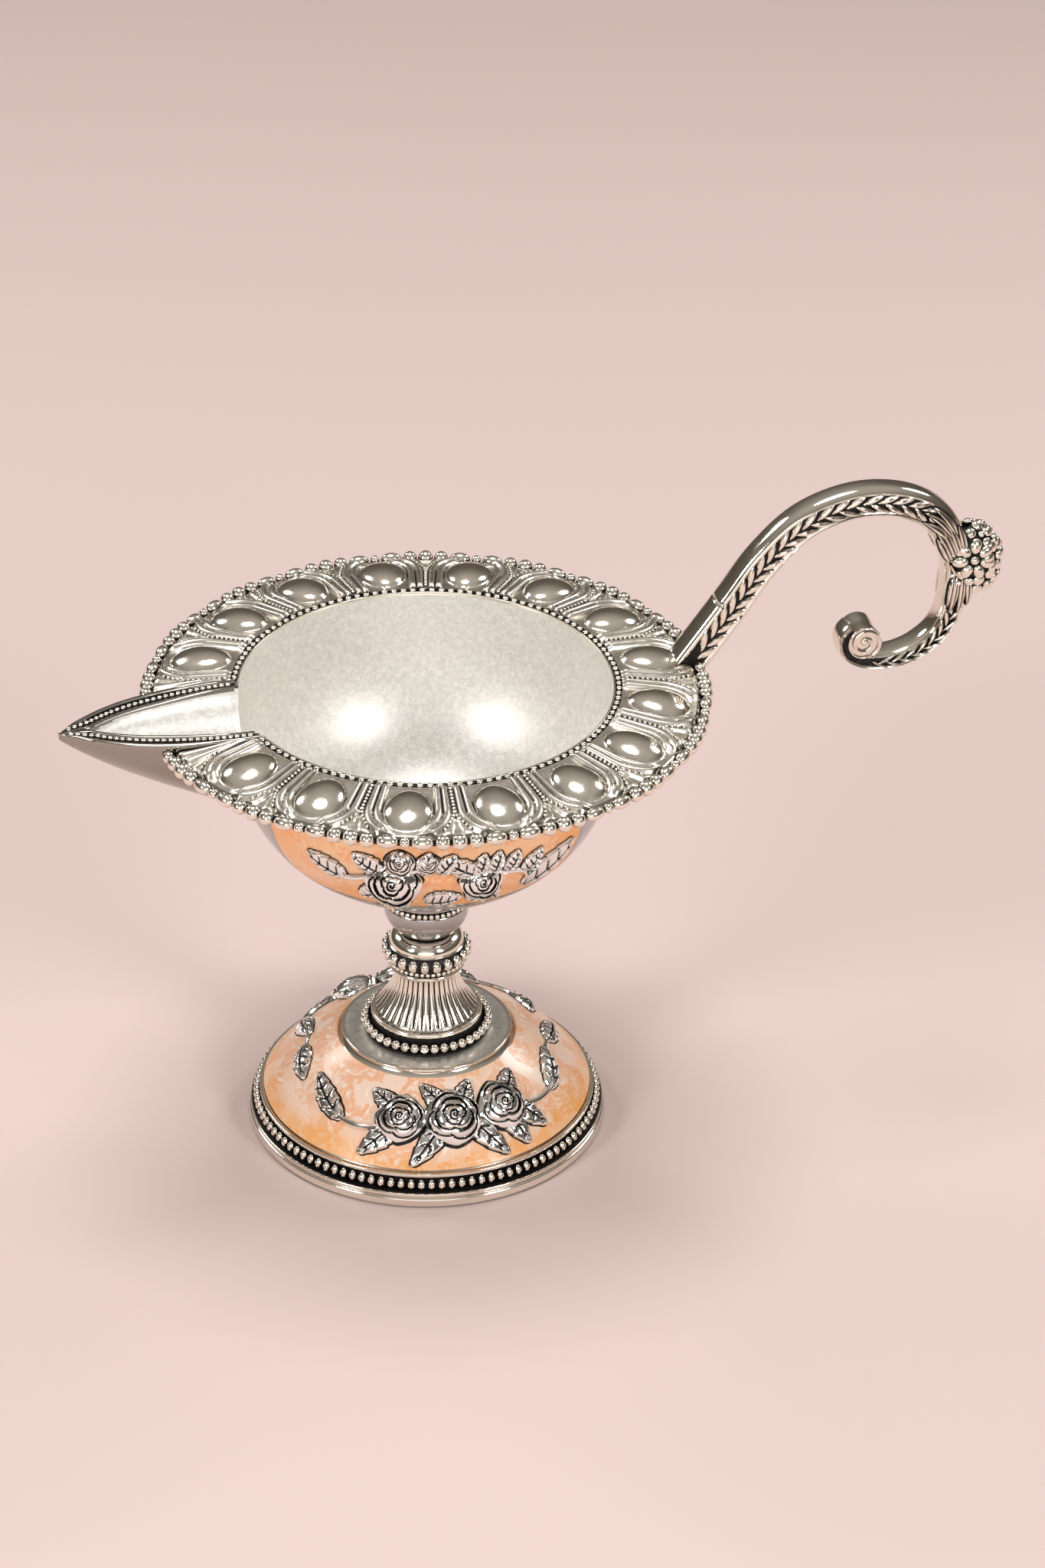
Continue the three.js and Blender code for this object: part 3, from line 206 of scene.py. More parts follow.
class DiyaFinishes(bpy.types.PropertyGroup):
    """Colours of the lamp's finishes"""

    silver: FloatVectorProperty(
        name="Silver", description="Colour of bright silver", subtype="COLOR",
        size=3, min=0, max=1, default=(0.9, 0.845, 0.755))
    tarnish: FloatVectorProperty(
        name="Tarnish", description="Colour of silver in the hollows", subtype="COLOR",
        size=3, min=0, max=1, default=(0.035, 0.03, 0.026))
    satin: FloatVectorProperty(
        name="Satin", description="Colour of the satin silver inside the bowl", subtype="COLOR",
        size=3, min=0, max=1, default=(0.96, 0.935, 0.885))
    # Also the colour of the painted shadow round the spray leaves and roses and behind the rim's edge beads, and of
    # the painted shade under the rose petal lips.
    blacking: FloatVectorProperty(
        name="Blacking", description="Colour of the blackened grounds", subtype="COLOR",
        size=3, min=0, max=1, default=(0.012, 0.011, 0.011))
    peach: FloatVectorProperty(
        name="Peach", description="Middle colour of the enamel", subtype="COLOR",
        size=3, min=0, max=1, default=(0.93, 0.5, 0.295))
    amber: FloatVectorProperty(
        name="Amber", description="Colour of the enamel along its borders", subtype="COLOR",
        size=3, min=0, max=1, default=(0.93, 0.43, 0.13))
    pearl: FloatVectorProperty(
        name="Pearl", description="Colour of the pearly streaks in the enamel", subtype="COLOR",
        size=3, min=0, max=1, default=(1.0, 0.85, 0.73))
    felt: FloatVectorProperty(
        name="Felt", description="Colour of the felt under the foot", subtype="COLOR",
        size=3, min=0, max=1, default=(0.03, 0.03, 0.032))


class DiyaStand(bpy.types.PropertyGroup):
    """Sizes of the foot and the stem"""

    foot_beads: IntProperty(
        name="Foot Beads", description="Number of beads round the foot", default=107, min=20, max=200)
    collar_beads: IntProperty(
        name="Collar Beads", description="Number of beads round the collar", default=39, min=10, max=80)
    flutes: IntProperty(
        name="Reeds", description="Number of reeds round the stem", default=36, min=8, max=60)
    flute_depth: FloatProperty(
        name="Reed Depth", description="Depth of the grooves between the reeds", subtype="DISTANCE", unit="LENGTH",
        default=0.0006, min=0.0, max=0.001)
    knop_beads: IntProperty(
        name="Knop Beads", description="Number of large beads round the knop", default=22, min=8, max=40)


class DiyaRim(bpy.types.PropertyGroup):
    """Sizes of the rim"""

    lobes: IntProperty(
        name="Lobes", description="Number of lobes round the rim", default=15, min=6, max=24)
    lobe_rise: FloatProperty(
        name="Lobe Rise", description="Height of a lobe above the rim", subtype="DISTANCE", unit="LENGTH",
        default=0.0023, min=0.0005, max=0.003)
    edge_bead: FloatProperty(
        name="Edge Bead", description="Radius of the beads along the edge", subtype="DISTANCE", unit="LENGTH",
        default=0.0013, min=0.0005, max=0.0015)
    ring_beads: IntProperty(
        name="Opening Beads", description="Number of beads round the whole opening", default=124, min=40, max=240)


class DiyaOrnament(bpy.types.PropertyGroup):
    """Sizes of the leaves and flowers"""

    rose_radius: FloatProperty(
        name="Rose", description="Radius of a rose", subtype="DISTANCE", unit="LENGTH",
        default=0.0045, min=0.002, max=0.006)
    leaf_width: FloatProperty(
        name="Leaf", description="Width of a spray leaf", subtype="DISTANCE", unit="LENGTH",
        default=0.0048, min=0.002, max=0.006)
    laurel_leaf: FloatProperty(
        name="Laurel Leaf", description="Length of a laurel leaf on the handle", subtype="DISTANCE", unit="LENGTH",
        default=0.0052, min=0.002, max=0.008)


class DiyaStage(bpy.types.PropertyGroup):
    """Floor and light"""

    floor: FloatVectorProperty(
        name="Floor", description="Colour of the floor", subtype="COLOR",
        size=3, min=0, max=1, default=(0.77, 0.61, 0.575))
    key: FloatProperty(
        name="Key Light", description="Power of the large light", unit="POWER", default=4.0, min=0.0, max=200.0)
    fill: FloatProperty(
        name="Fill Light", description="Power of the small lights", unit="POWER", default=2.2, min=0.0, max=200.0)


# Finishes


class Finish:
    """A material put together from shader nodes on Object coordinates."""

    def __init__(self, name, colour, roughness, metallic):
        self.material = bpy.data.materials.new(name)
        self.material.use_nodes = True
        self.tree = self.material.node_tree
        self.shader = self.tree.nodes["Principled BSDF"]
        self.set("Base Color", (*colour, 1.0))
        self.set("Roughness", roughness)
        self.set("Metallic", metallic)
        self.spot = self.tree.nodes.new("ShaderNodeTexCoord").outputs["Object"]

    def set(self, socket, value):
        """Sets a socket of the shader, or links it."""
        self.feed(self.shader.inputs[socket], value)

    def feed(self, socket, value):
        """Links a socket to another node's output, or gives it a value."""
        if isinstance(value, bpy.types.NodeSocket):
            self.tree.links.new(value, socket)
        else:
            socket.default_value = value

    def node(self, kind, inputs, **settings):
        """Adds a node with its settings and inputs."""
        made = self.tree.nodes.new(kind)
        for name, value in settings.items():
            setattr(made, name, value)
        for socket, value in inputs.items():
            self.feed(made.inputs[socket], value)
        return made

    def noise(self, scale, detail=3.0, roughness=0.5, distortion=0.0):
        """Soft noise with about so many lumps to the metre."""
        return self.node("ShaderNodeTexNoise", {
            "Vector": self.spot, "Scale": scale, "Detail": detail,
            "Roughness": roughness, "Distortion": distortion}).outputs[0]

    def stretch(self, value, low, high, to_low=0.0, to_high=1.0):
        """Maps a range of values onto another."""
        return self.node("ShaderNodeMapRange", {
            "Value": value, "From Min": low, "From Max": high,
            "To Min": to_low, "To Max": to_high}).outputs[0]

    def mix(self, share, first, second):
        """Blends two colours."""
        return self.node("ShaderNodeMix", {0: share, 6: first, 7: second}, data_type="RGBA").outputs[2]

    def sum(self, kind, first, second):
        """Adds, multiplies or compares two values."""
        return self.node("ShaderNodeMath", {0: first, 1: second}, operation=kind).outputs[0]

    def crevice(self, distance):
        """Share of shut-in surface within a distance, 1 in the deepest hollows."""
        shade = self.node("ShaderNodeAmbientOcclusion", {"Distance": distance}, samples=12)
        return self.sum("SUBTRACT", 1.0, shade.outputs["AO"])

    def bump(self, height, strength, distance):
        """Roughens the surface by a height."""
        self.set("Normal", self.node("ShaderNodeBump", {
            "Height": height, "Strength": strength, "Distance": distance}).outputs[0])


def solid(colour):
    """A colour with full alpha."""
    return (*colour, 1.0)


def silver_finish(name, reach, start, full, low, high, tone=1.0, cool=0.0):
    """Silver with tarnish in its hollows and a soft wear of its gloss; a tone under 1 darkens its colour as painted
    shade, a tone over 1 lightens it as painted light, and the colour is cooled.
    """
    tones = bpy.context.scene.diya_finishes
    made = Finish(name, tones.silver, low, 1.0)
    shift = (1.0 - cool, 1.0 - 0.4 * cool, 1.0 + 0.5 * cool)
    # The tone paints shade or light into the silver's colour.
    colour = tuple(tone * part * hue for part, hue in zip(tones.silver, shift))
    dirt = made.stretch(made.crevice(reach), start, full)
    cloud = made.stretch(made.noise(160.0, 4.0), 0.3, 0.7, 0.78, 1.0)
    dirt = made.sum("MULTIPLY", dirt, cloud)
    made.set("Base Color", made.mix(dirt, solid(colour), solid(tones.tarnish)))
    rub = made.stretch(made.noise(420.0, 5.0, 0.6), 0.35, 0.7, low, high)
    made.set("Roughness", made.sum("ADD", rub, made.sum("MULTIPLY", dirt, 0.3)))
    made.bump(made.noise(1500.0, 2.0), 0.03, 0.0001)
    return made.material


def satin_finish(name, tone, metallic, roughness):
    """Satin silver with a fine mottled grain, its colour dimmed by a tone."""
    made = Finish(name, (1.0, 1.0, 1.0), roughness, metallic)
    colour = tuple(tone * part for part in bpy.context.scene.diya_finishes.satin)
    flecks = made.stretch(made.noise(900.0, 4.0, 0.65, 1.2), 0.4, 0.62)
    dull = tuple(0.82 * part for part in colour)
    made.set("Base Color", made.mix(flecks, solid(dull), solid(colour)))
    made.set("Roughness", made.stretch(flecks, 0.0, 1.0, roughness - 0.06, roughness + 0.06))
    made.bump(made.noise(2600.0, 3.0, 0.6), 0.35, 0.00006)
    return made.material


def black_finish(name):
    """Blackened silver, rubbed a little; also laid on as painted shadow round the spray leaves and roses and behind
    the rim's edge beads, and as painted shade under the rose petal lips.
    """
    tones = bpy.context.scene.diya_finishes
    made = Finish(name, tones.blacking, 0.5, 0.6)
    wear = made.stretch(made.noise(1200.0, 4.0), 0.52, 0.75)
    # Lighter colour where the blacking is rubbed through.
    worn = tuple(4.0 * part for part in tones.blacking)
    made.set("Base Color", made.mix(wear, solid(tones.blacking), solid(worn)))
    made.set("Roughness", made.stretch(wear, 0.0, 1.0, 0.55, 0.35))
    made.bump(made.noise(1800.0, 3.0), 0.2, 0.00008)
    return made.material


def enamel_finish(name, pearl, hue):
    """Pearly peach enamel under a clear glaze, amber along its borders, its colours shifted by a hue."""
    tones = bpy.context.scene.diya_finishes
    made = Finish(name, tones.peach, 0.25, 0.0)
    border = made.node("ShaderNodeAttribute", {}, attribute_name="border").outputs["Fac"]
    drift = made.noise(60.0, 3.0, 0.5, 0.6)
    warm = made.stretch(made.sum("ADD", border, made.stretch(drift, 0.3, 0.7, -0.25, 0.3)), 0.15, 0.9)
    peach, amber, bright = (tuple(part * shift for part, shift in zip(colour, hue))
                            for colour in (tones.peach, tones.amber, tones.pearl))
    ground = made.mix(warm, solid(peach), solid(amber))
    swirl = made.node("ShaderNodeTexNoise", {"Vector": made.spot, "Scale": 120.0}).outputs[1]
    warped = made.node("ShaderNodeVectorMath", {0: swirl, 1: (0.012, 0.012, 0.012), 2: made.spot},
                       operation="MULTIPLY_ADD").outputs[0]
    shards = made.node("ShaderNodeTexVoronoi", {"Vector": warped, "Scale": 190.0}, feature="F1")
    flake = made.node("ShaderNodeSeparateColor", {0: shards.outputs["Color"]}).outputs[0]
    streak = made.stretch(made.noise(240.0, 5.0, 0.62, 3.4), 0.48, 0.7)
    lustre = made.sum("MULTIPLY", made.stretch(flake, 0.3, 1.0), 0.6)
    lustre = made.sum("MAXIMUM", lustre, made.sum("MULTIPLY", streak, 0.95))
    lustre = made.sum("MULTIPLY", lustre, made.stretch(warm, 0.0, 1.0, pearl, 0.5 * pearl))
    made.set("Base Color", made.mix(lustre, ground, solid(bright)))
    made.set("Roughness", made.stretch(flake, 0.0, 1.0, 0.38, 0.24))
    made.set("Coat Weight", 0.28)
    made.set("Coat Roughness", 0.16)
    made.bump(made.noise(130.0, 2.0), 0.1, 0.0003)
    return made.material


def felt_finish(name):
    """Short dark felt."""
    tones = bpy.context.scene.diya_finishes
    made = Finish(name, tones.felt, 0.95, 0.0)
    pile = made.noise(2400.0, 5.0, 0.7)
    lit = tuple(3.0 * part for part in tones.felt)
    made.set("Base Color", made.mix(made.stretch(pile, 0.35, 0.7), solid(tones.felt), solid(lit)))
    made.set("Sheen Weight", 0.4)
    made.bump(pile, 0.6, 0.0003)
    return made.material


def steel_finish(name):
    """Zinc-plated steel of the hidden fixings."""
    made = Finish(name, (0.62, 0.62, 0.6), 0.35, 1.0)
    rub = made.noise(700.0, 4.0, 0.6)
    made.set("Base Color", made.mix(rub, (0.5, 0.5, 0.48, 1.0), (0.7, 0.7, 0.68, 1.0)))
    made.set("Roughness", made.stretch(rub, 0.3, 0.7, 0.25, 0.5))
    return made.material


# Maker and values of each finish; silver: reach and range of tarnish, range of roughness, tone and coolness. Tones
# other than 1 make lighter and darker copies of the same silver, as painted light and painted shade.
FINISHES = {
    "bright": (silver_finish, 0.0012, 0.42, 0.8, 0.06, 0.16),
    "aged": (silver_finish, 0.0016, 0.26, 0.62, 0.1, 0.22),
    # Rougher and a little darker: slight painted shade on the rim between the domes.
    "soft": (silver_finish, 0.0016, 0.24, 0.6, 0.24, 0.34, 0.92),
    # Much darker copy of the silver: painted shade on the bowl's outside and the neck.
    "worn": (silver_finish, 0.0016, 0.4, 0.8, 0.1, 0.2, 0.58, 0.1),
    # Darkest copy of the silver: painted shade on the spout's hull and the rim's outer chamfer.
    "dim": (silver_finish, 0.0016, 0.4, 0.8, 0.12, 0.22, 0.42),
    # Smoother and a little darker: slight painted shade on the handle.
    "polished": (silver_finish, 0.0012, 0.42, 0.8, 0.05, 0.13, 0.94),
    # Paler, cooler and brighter copy of the silver: painted light on the sprays' leaves and stems.
    "cast": (silver_finish, 0.0014, 0.3, 0.7, 0.07, 0.17, 1.12, 0.1),
    # Brighter still: painted light on the rose petals.
    "petal": (silver_finish, 0.0011, 0.45, 0.9, 0.07, 0.15, 1.16, 0.1),
    "satin": (satin_finish, 0.97, 0.52, 0.43),
    "brushed": (satin_finish, 0.85, 0.85, 0.38),
    "black": (black_finish,),
    "enamel": (enamel_finish, 1.35, (1.0, 1.0, 1.0)),
    "deep_enamel": (enamel_finish, 0.85, (0.95, 0.84, 0.64)),
    "felt": (felt_finish,),
    "steel": (steel_finish,),
}


def finish(kind):
    """The material of a finish, made the first time it is asked for."""
    name = "lamp_" + kind
    maker, *values = FINISHES[kind]
    return bpy.data.materials.get(name) or maker(name, *values)


# Shapes


def polar(angle, radius, height):
    """Point at an angle in degrees about the upright axis."""
    turn = math.radians(angle)
    return Vector((radius * math.cos(turn), radius * math.sin(turn), height))


def ease(value):
    """Smooth step from 0 to 1."""
    share = min(1.0, max(0.0, value))
    return share * share * (3 - 2 * share)


def ridge(distance, width):
    """Rounded ridge of height 1 about a line."""
    return math.exp(-((distance / width) ** 2))


def rounded(*corners):
    """Closed outline through corners of radius, height and rounding."""
    points = []
    for index, (radius, height, size) in enumerate(corners):
        here = Vector((radius, height))
        if not size:
            points.append(here)
            continue
        before = Vector(corners[index - 1][:2]) - here
        after = Vector(corners[(index + 1) % len(corners)][:2]) - here
        start = here + before.normalized() * size
        end = here + after.normalized() * size
        for step in range(ROUND_STEPS + 1):
            share = step / ROUND_STEPS
            points.append(start * (1 - share) ** 2 + here * 2 * share * (1 - share) + end * share ** 2)
    return points


def join(bm, part):
    """Adds a finished part to a piece, its faces turned outwards."""
    bmesh.ops.recalc_face_normals(part, faces=part.faces)
    mesh = bpy.data.meshes.new("part")
    part.to_mesh(mesh)
    part.free()
    bm.from_mesh(mesh)
    bpy.data.meshes.remove(mesh)


def turned(bm, outline, steps=TURN_STEPS, shape=None):
    """Ring turned from a closed outline of radius and height, its points then moved by a shape function."""
    part = bmesh.new()
    line = [part.verts.new((point[0], 0.0, point[1])) for point in outline]
    edges = [part.edges.new((line[index - 1], line[index])) for index in range(len(line))]
    bmesh.ops.spin(
        part, geom=line + edges, cent=(0, 0, 0), axis=(0, 0, 1), dvec=(0, 0, 0),
        angle=math.tau, steps=steps, use_merge=True)
    bmesh.ops.remove_doubles(part, verts=part.verts, dist=MERGE_GAP)
    if shape:
        for vert in part.verts:
            shape(vert)
    join(bm, part)


def patch(bm, columns, rows, place, paint=None):
    """Grid laid out and painted by functions of its two shares, with its seams merged and its ends closed."""
    part = bmesh.new()
    bmesh.ops.create_grid(part, x_segments=columns, y_segments=rows, size=0.5)
    if paint:
        for face in part.faces:
            middle = face.calc_center_median()
            face.material_index = paint(middle.x + 0.5, middle.y + 0.5)
    for vert in part.verts:
        vert.co = place(vert.co.x + 0.5, vert.co.y + 0.5)
    bmesh.ops.remove_doubles(part, verts=part.verts, dist=MERGE_GAP)
    bmesh.ops.holes_fill(part, edges=[edge for edge in part.edges if edge.is_boundary])
    join(bm, part)


def bead(bm, at, axis, side, half, point=0.0, round_steps=8, rings=6, kind=0):
    """Ball of half sizes along its side, across and along its axis, drawn to a point at both ends, in a finish."""
    axis = axis.normalized()
    across = axis.cross(side).normalized()
    side = across.cross(axis)
    part = bmesh.new()
    bmesh.ops.create_uvsphere(part, u_segments=round_steps, v_segments=rings, radius=1.0)
    for vert in part.verts:
        vert.co.xy = vert.co.xy * max(0.0, 1.0 - vert.co.z ** 2) ** point
    for face in part.faces:
        face.material_index = kind
    place = Matrix((side * half[0], across * half[1], axis * half[2])).transposed().to_4x4()
    place.translation = at
    bmesh.ops.transform(part, matrix=place, verts=part.verts)
    join(bm, part)


def bead_ring(bm, count, radius, height, half, point=0.0, skip=0.0):
    """Ring of upright beads, left out within an angle of the spout."""
    for index in range(count):
        angle = 360.0 * (index + 0.5) / count
        if abs(angle - 180.0) < skip:
            continue
        out = polar(angle, 1.0, 0.0)
        bead(bm, polar(angle, radius, height), UP, out, half, point)


def tube(bm, points, radii, sides, columns=8):
    """Round wire along points, with a radius and a side direction at each to set its section out."""
    count = len(points) - 1

    def place(around, along):
        index = round(along * count)
        run = (points[min(count, index + 1)] - points[max(0, index - 1)]).normalized()
        first = (sides[index] - run * sides[index].dot(run)).normalized()
        second = run.cross(first)
        turn = math.tau * around
        return points[index] + (first * math.cos(turn) + second * math.sin(turn)) * radii[index]

    patch(bm, columns, count, place)


def smooth_line(corners, count):
    """Evenly spaced points on a smooth curve through the corners."""
    corners = [Vector(corner) for corner in corners]
    ends = [2 * corners[0] - corners[1], *corners, 2 * corners[-1] - corners[-2]]
    dense = []
    for index in range(1, len(ends) - 2):
        p0, p1, p2, p3 = ends[index - 1:index + 3]
        d0, d1, d2 = ((b - a).length ** 0.5 for a, b in ((p0, p1), (p1, p2), (p2, p3)))
        t1 = ((p1 - p0) / d0 - (p2 - p0) / (d0 + d1) + (p2 - p1) / d1) * d1
        t2 = ((p2 - p1) / d1 - (p3 - p1) / (d1 + d2) + (p3 - p2) / d2) * d1
        for step in range(24):
            s = step / 24
            dense.append(p1 * (2 * s ** 3 - 3 * s ** 2 + 1) + t1 * (s ** 3 - 2 * s ** 2 + s)
                         + p2 * (3 * s ** 2 - 2 * s ** 3) + t2 * (s ** 3 - s ** 2))
    dense.append(corners[-1])
    lengths = [0.0]
    for first, second in zip(dense, dense[1:]):
        lengths.append(lengths[-1] + (second - first).length)
    points = []
    place = 0
    for step in range(count + 1):
        goal = lengths[-1] * step / count
        while place < len(dense) - 2 and lengths[place + 1] < goal:
            place += 1
        share = (goal - lengths[place]) / (lengths[place + 1] - lengths[place])
        points.append(dense[place].lerp(dense[place + 1], min(1.0, share)))
    return points


def leaf(bm, lay, start, end, width, columns=32, rows=40, veins=5):
    """Leaf with a toothed edge and dark veins, ringed by a thin black skirt of painted shadow, laid over a surface
    from flat millimetres and closed underneath.
    """
    run = end - start
    side = Vector((-run.y, run.x)).normalized()
    width = min(width, 0.68 * run.length)
    # Past the share rim across its top, the leaf ends in a low black skirt: painted shadow round its edge.
    top, rim, under = 0.75, 0.9, -0.25

    def sideways(around):
        return around / top * 2 - 1 if around <= top else 1 - (around - top) / (1 - top) * 2

    def vein(s, along):
        middle = ridge(s, 0.09) * ease((0.97 - along) / 0.1)
        branch = abs((along * veins - 0.75 * abs(s)) % 1.0 - 0.5) * 2 if veins else 0.0
        return max(middle, ease((branch - 0.7) / 0.25) * ease((0.85 - abs(s)) / 0.2))

    def place(around, along):
        s = sideways(around)
        inside = 0 < along < 1
        breadth = 0.5 * width * math.sin(math.pi * along ** 0.8) ** 0.75 if inside else 0.0
        t = max(-1.0, min(1.0, s / rim))
        breadth *= 1.0 - 0.16 * ((along * veins + 0.4) % 1.0) * abs(t) ** 3
        # Painted shadow: the skirt reaches 0.35 mm past the leaf's edge and lies low on the ground.
        outline = max(0.0, abs(s) - rim) / 0.1 if inside else 0.0
        spot = start + run * along + side * (t * breadth + math.copysign(0.35 * outline, s))
        body = math.sin(math.pi * along) ** 0.5 if inside else 0.0
        lift = 0.08 if outline else 0.35 + body * (1 - 0.65 * t * t - 0.45 * vein(t, along))
        return lay(spot.x, spot.y, lift if around <= top else under)

    def paint(around, along):
        s = sideways(around)
        # Black on the veins and on the skirt of painted shadow.
        return int(around < top and (abs(s) > rim or vein(s / rim, along) > 0.5))

    patch(bm, columns, rows, place, paint)


def rose(bm, lay, x, y, radius, tilt, columns=80, rows=46):
    """Full rose: a rolled bud inside rings of petals, black on the walls under their lips as painted shade and ringed
    by black painted shadow, turned up from its panel by an angle.
    """
    base = lay(x, y, 0.0)
    wide = (lay(x + 0.1, y, 0.0) - base).length / 0.1
    tall = (lay(x, y + 0.1, 0.0) - base).length / 0.1
    # Past the bloom, the patch turns into a thin low ring round the rose: painted shadow.
    bloom, shadow_ring, under = 0.92, 0.93, -0.25

    def fall(around, share):
        """Share of the way from a petal's lip down to the next lip."""
        edges = []
        for start, petals, turn in ROSE_RINGS:
            bend = (around * petals + turn) % 1.0 * 2 - 1
            edges.append(start * (1.06 - 0.24 * bend * bend + 0.05 * bend))
        if share < edges[0]:
            return (1.7 * share / edges[0] - around) % 1.0
        inner = max(edge for edge in edges if edge <= share)
        outer = min(edge for edge in (*edges, 1.3) if edge > share)
        return (share - inner) / (outer - inner)

    def place(around, along):
        share = min(1.0, along / bloom)
        turn = math.tau * around
        petals = 1 - 0.1 * abs(math.sin(math.pi * 4 * around)) * ease((share - 0.6) / 0.4)
        reach = radius * share * petals + 0.4 * ease((along - 0.94) / 0.02)
        across, up = reach * math.cos(turn), reach * math.sin(turn)
        plump = math.sqrt(1 - min(1.0, fall(around, share)) ** 2.2)
        height = 0.15 + 0.32 * radius * (1 - share ** 2.2) + 0.2 * radius * plump
        lift = max(under, height * math.cos(tilt) - up * math.sin(tilt))
        rise = up * math.cos(tilt) + height * math.sin(tilt)
        # Ring of painted shadow, 0.4 mm wide, lying low round the rose.
        if along > shadow_ring:
            lift = 0.06 if along < 0.99 else under
        return lay(x + across / wide, y + rise / tall, lift)

    def paint(around, along):
        # Black on the ring of painted shadow and, as painted shade, on the steep walls under the petal lips.
        return 1 if along > shadow_ring or fall(around, along / bloom) > 0.8 else 2

    patch(bm, columns, rows, place, paint)


def new_piece(name, bm, kinds, nodes, pick=None, border=None):
    """Finished piece from a bmesh in millimetres, riding on the lamp and standing for its solids."""
    bm.normal_update()
    for face in bm.faces:
        face.smooth = True
        if pick:
            face.material_index = pick(face)
    if border:
        layer = bm.verts.layers.float.new("border")
        for vert in bm.verts:
            vert[layer] = border(vert.co)
    bmesh.ops.scale(bm, vec=(MM, MM, MM), verts=bm.verts)
    mesh = bpy.data.meshes.new(name)
    bm.to_mesh(mesh)
    bm.free()
    mesh.set_sharp_from_angle(angle=SHARP_ANGLE)
    for kind in kinds:
        mesh.materials.append(finish(kind))
    piece = bpy.data.objects.new(name, mesh)
    bpy.context.scene.collection.objects.link(piece)
    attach(piece, BODY)
    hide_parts(*nodes)


# Lines of the lamp


def dome_point(share, out):
    """Radius and height on the enamelled dome of the foot, moved out from its face."""
    start = Vector((ENAMEL_EDGE, LIP_TOP))
    run = Vector((PLATE_RADIUS, DOME_TOP)) - start
    normal = Vector((run.y, -run.x)).normalized()
    return start + run * share + normal * (4 * DOME_BULGE * share * (1 - share) + out)


def dome_length():
    """Length of the dome's slope."""
    return (Vector((PLATE_RADIUS, DOME_TOP)) - Vector((ENAMEL_EDGE, LIP_TOP))).length


def bowl_point(angle, out):
    """Radius and height on the bowl's side at an angle up from its middle, moved out from its face."""
    radius = (BOWL_RADIUS + out) * math.sin(angle) ** (2 / BOWL_ROUNDNESS)
    depth = (BOWL_SHOULDER - BOWL_BOTTOM + out) * max(0.0, math.cos(angle)) ** (2 / BOWL_FLATNESS)
    return Vector((radius, BOWL_SHOULDER - depth))


def bowl_radius(height):
    """Outside radius of the bowl at a height."""
    drop = max(0.0, (BOWL_SHOULDER - height) / (BOWL_SHOULDER - BOWL_BOTTOM))
    return BOWL_RADIUS * max(0.0, 1 - drop ** BOWL_FLATNESS) ** (1 / BOWL_ROUNDNESS)


def spout_half(share):
    """Half width of the spout along its run."""
    return max(0.5, SPOUT_HALF * (1 - max(0.0, share) ** 3))


def border_width(share):
    """Width of the beaded border along the spout."""
    width = BORDER_START + (BORDER_WIDTH - BORDER_START) * ease(share / 0.5)
    return min(width, 0.93 * spout_half(share))


def channel_half(share):
    """Half width of the spout's channel."""
    return spout_half(share) - border_width(share)


def channel_floor(share, side):
    """Height of the channel's floor at a sideways place."""
    depth = 1.0 + CHANNEL_DEPTH * (1 - max(0.0, share)) ** 0.8
    depth *= ease((1.0 - share) / 0.1)
    inset = min(1.0, abs(side) / channel_half(share))
    return SPOUT_TOP - depth * (1 - inset ** 2) ** 0.575


def handle_line(count):
    """Evenly spaced points along the middle of the handle."""
    return smooth_line([(HANDLE_ROOT + HANDLE_REACH * a, 0.0, RIM_TOP + HANDLE_RISE * b)
                        for a, b in HANDLE_LINE], count)


def handle_half(share):
    """Half thickness of the handle along its length."""
    thick = HANDLE_THICK + HANDLE_SWELL * (1 - ease(share / 0.45))
    return (thick + (HANDLE_THIN - thick) * ease((share - 0.5) / 0.5)) / 2


# Pieces


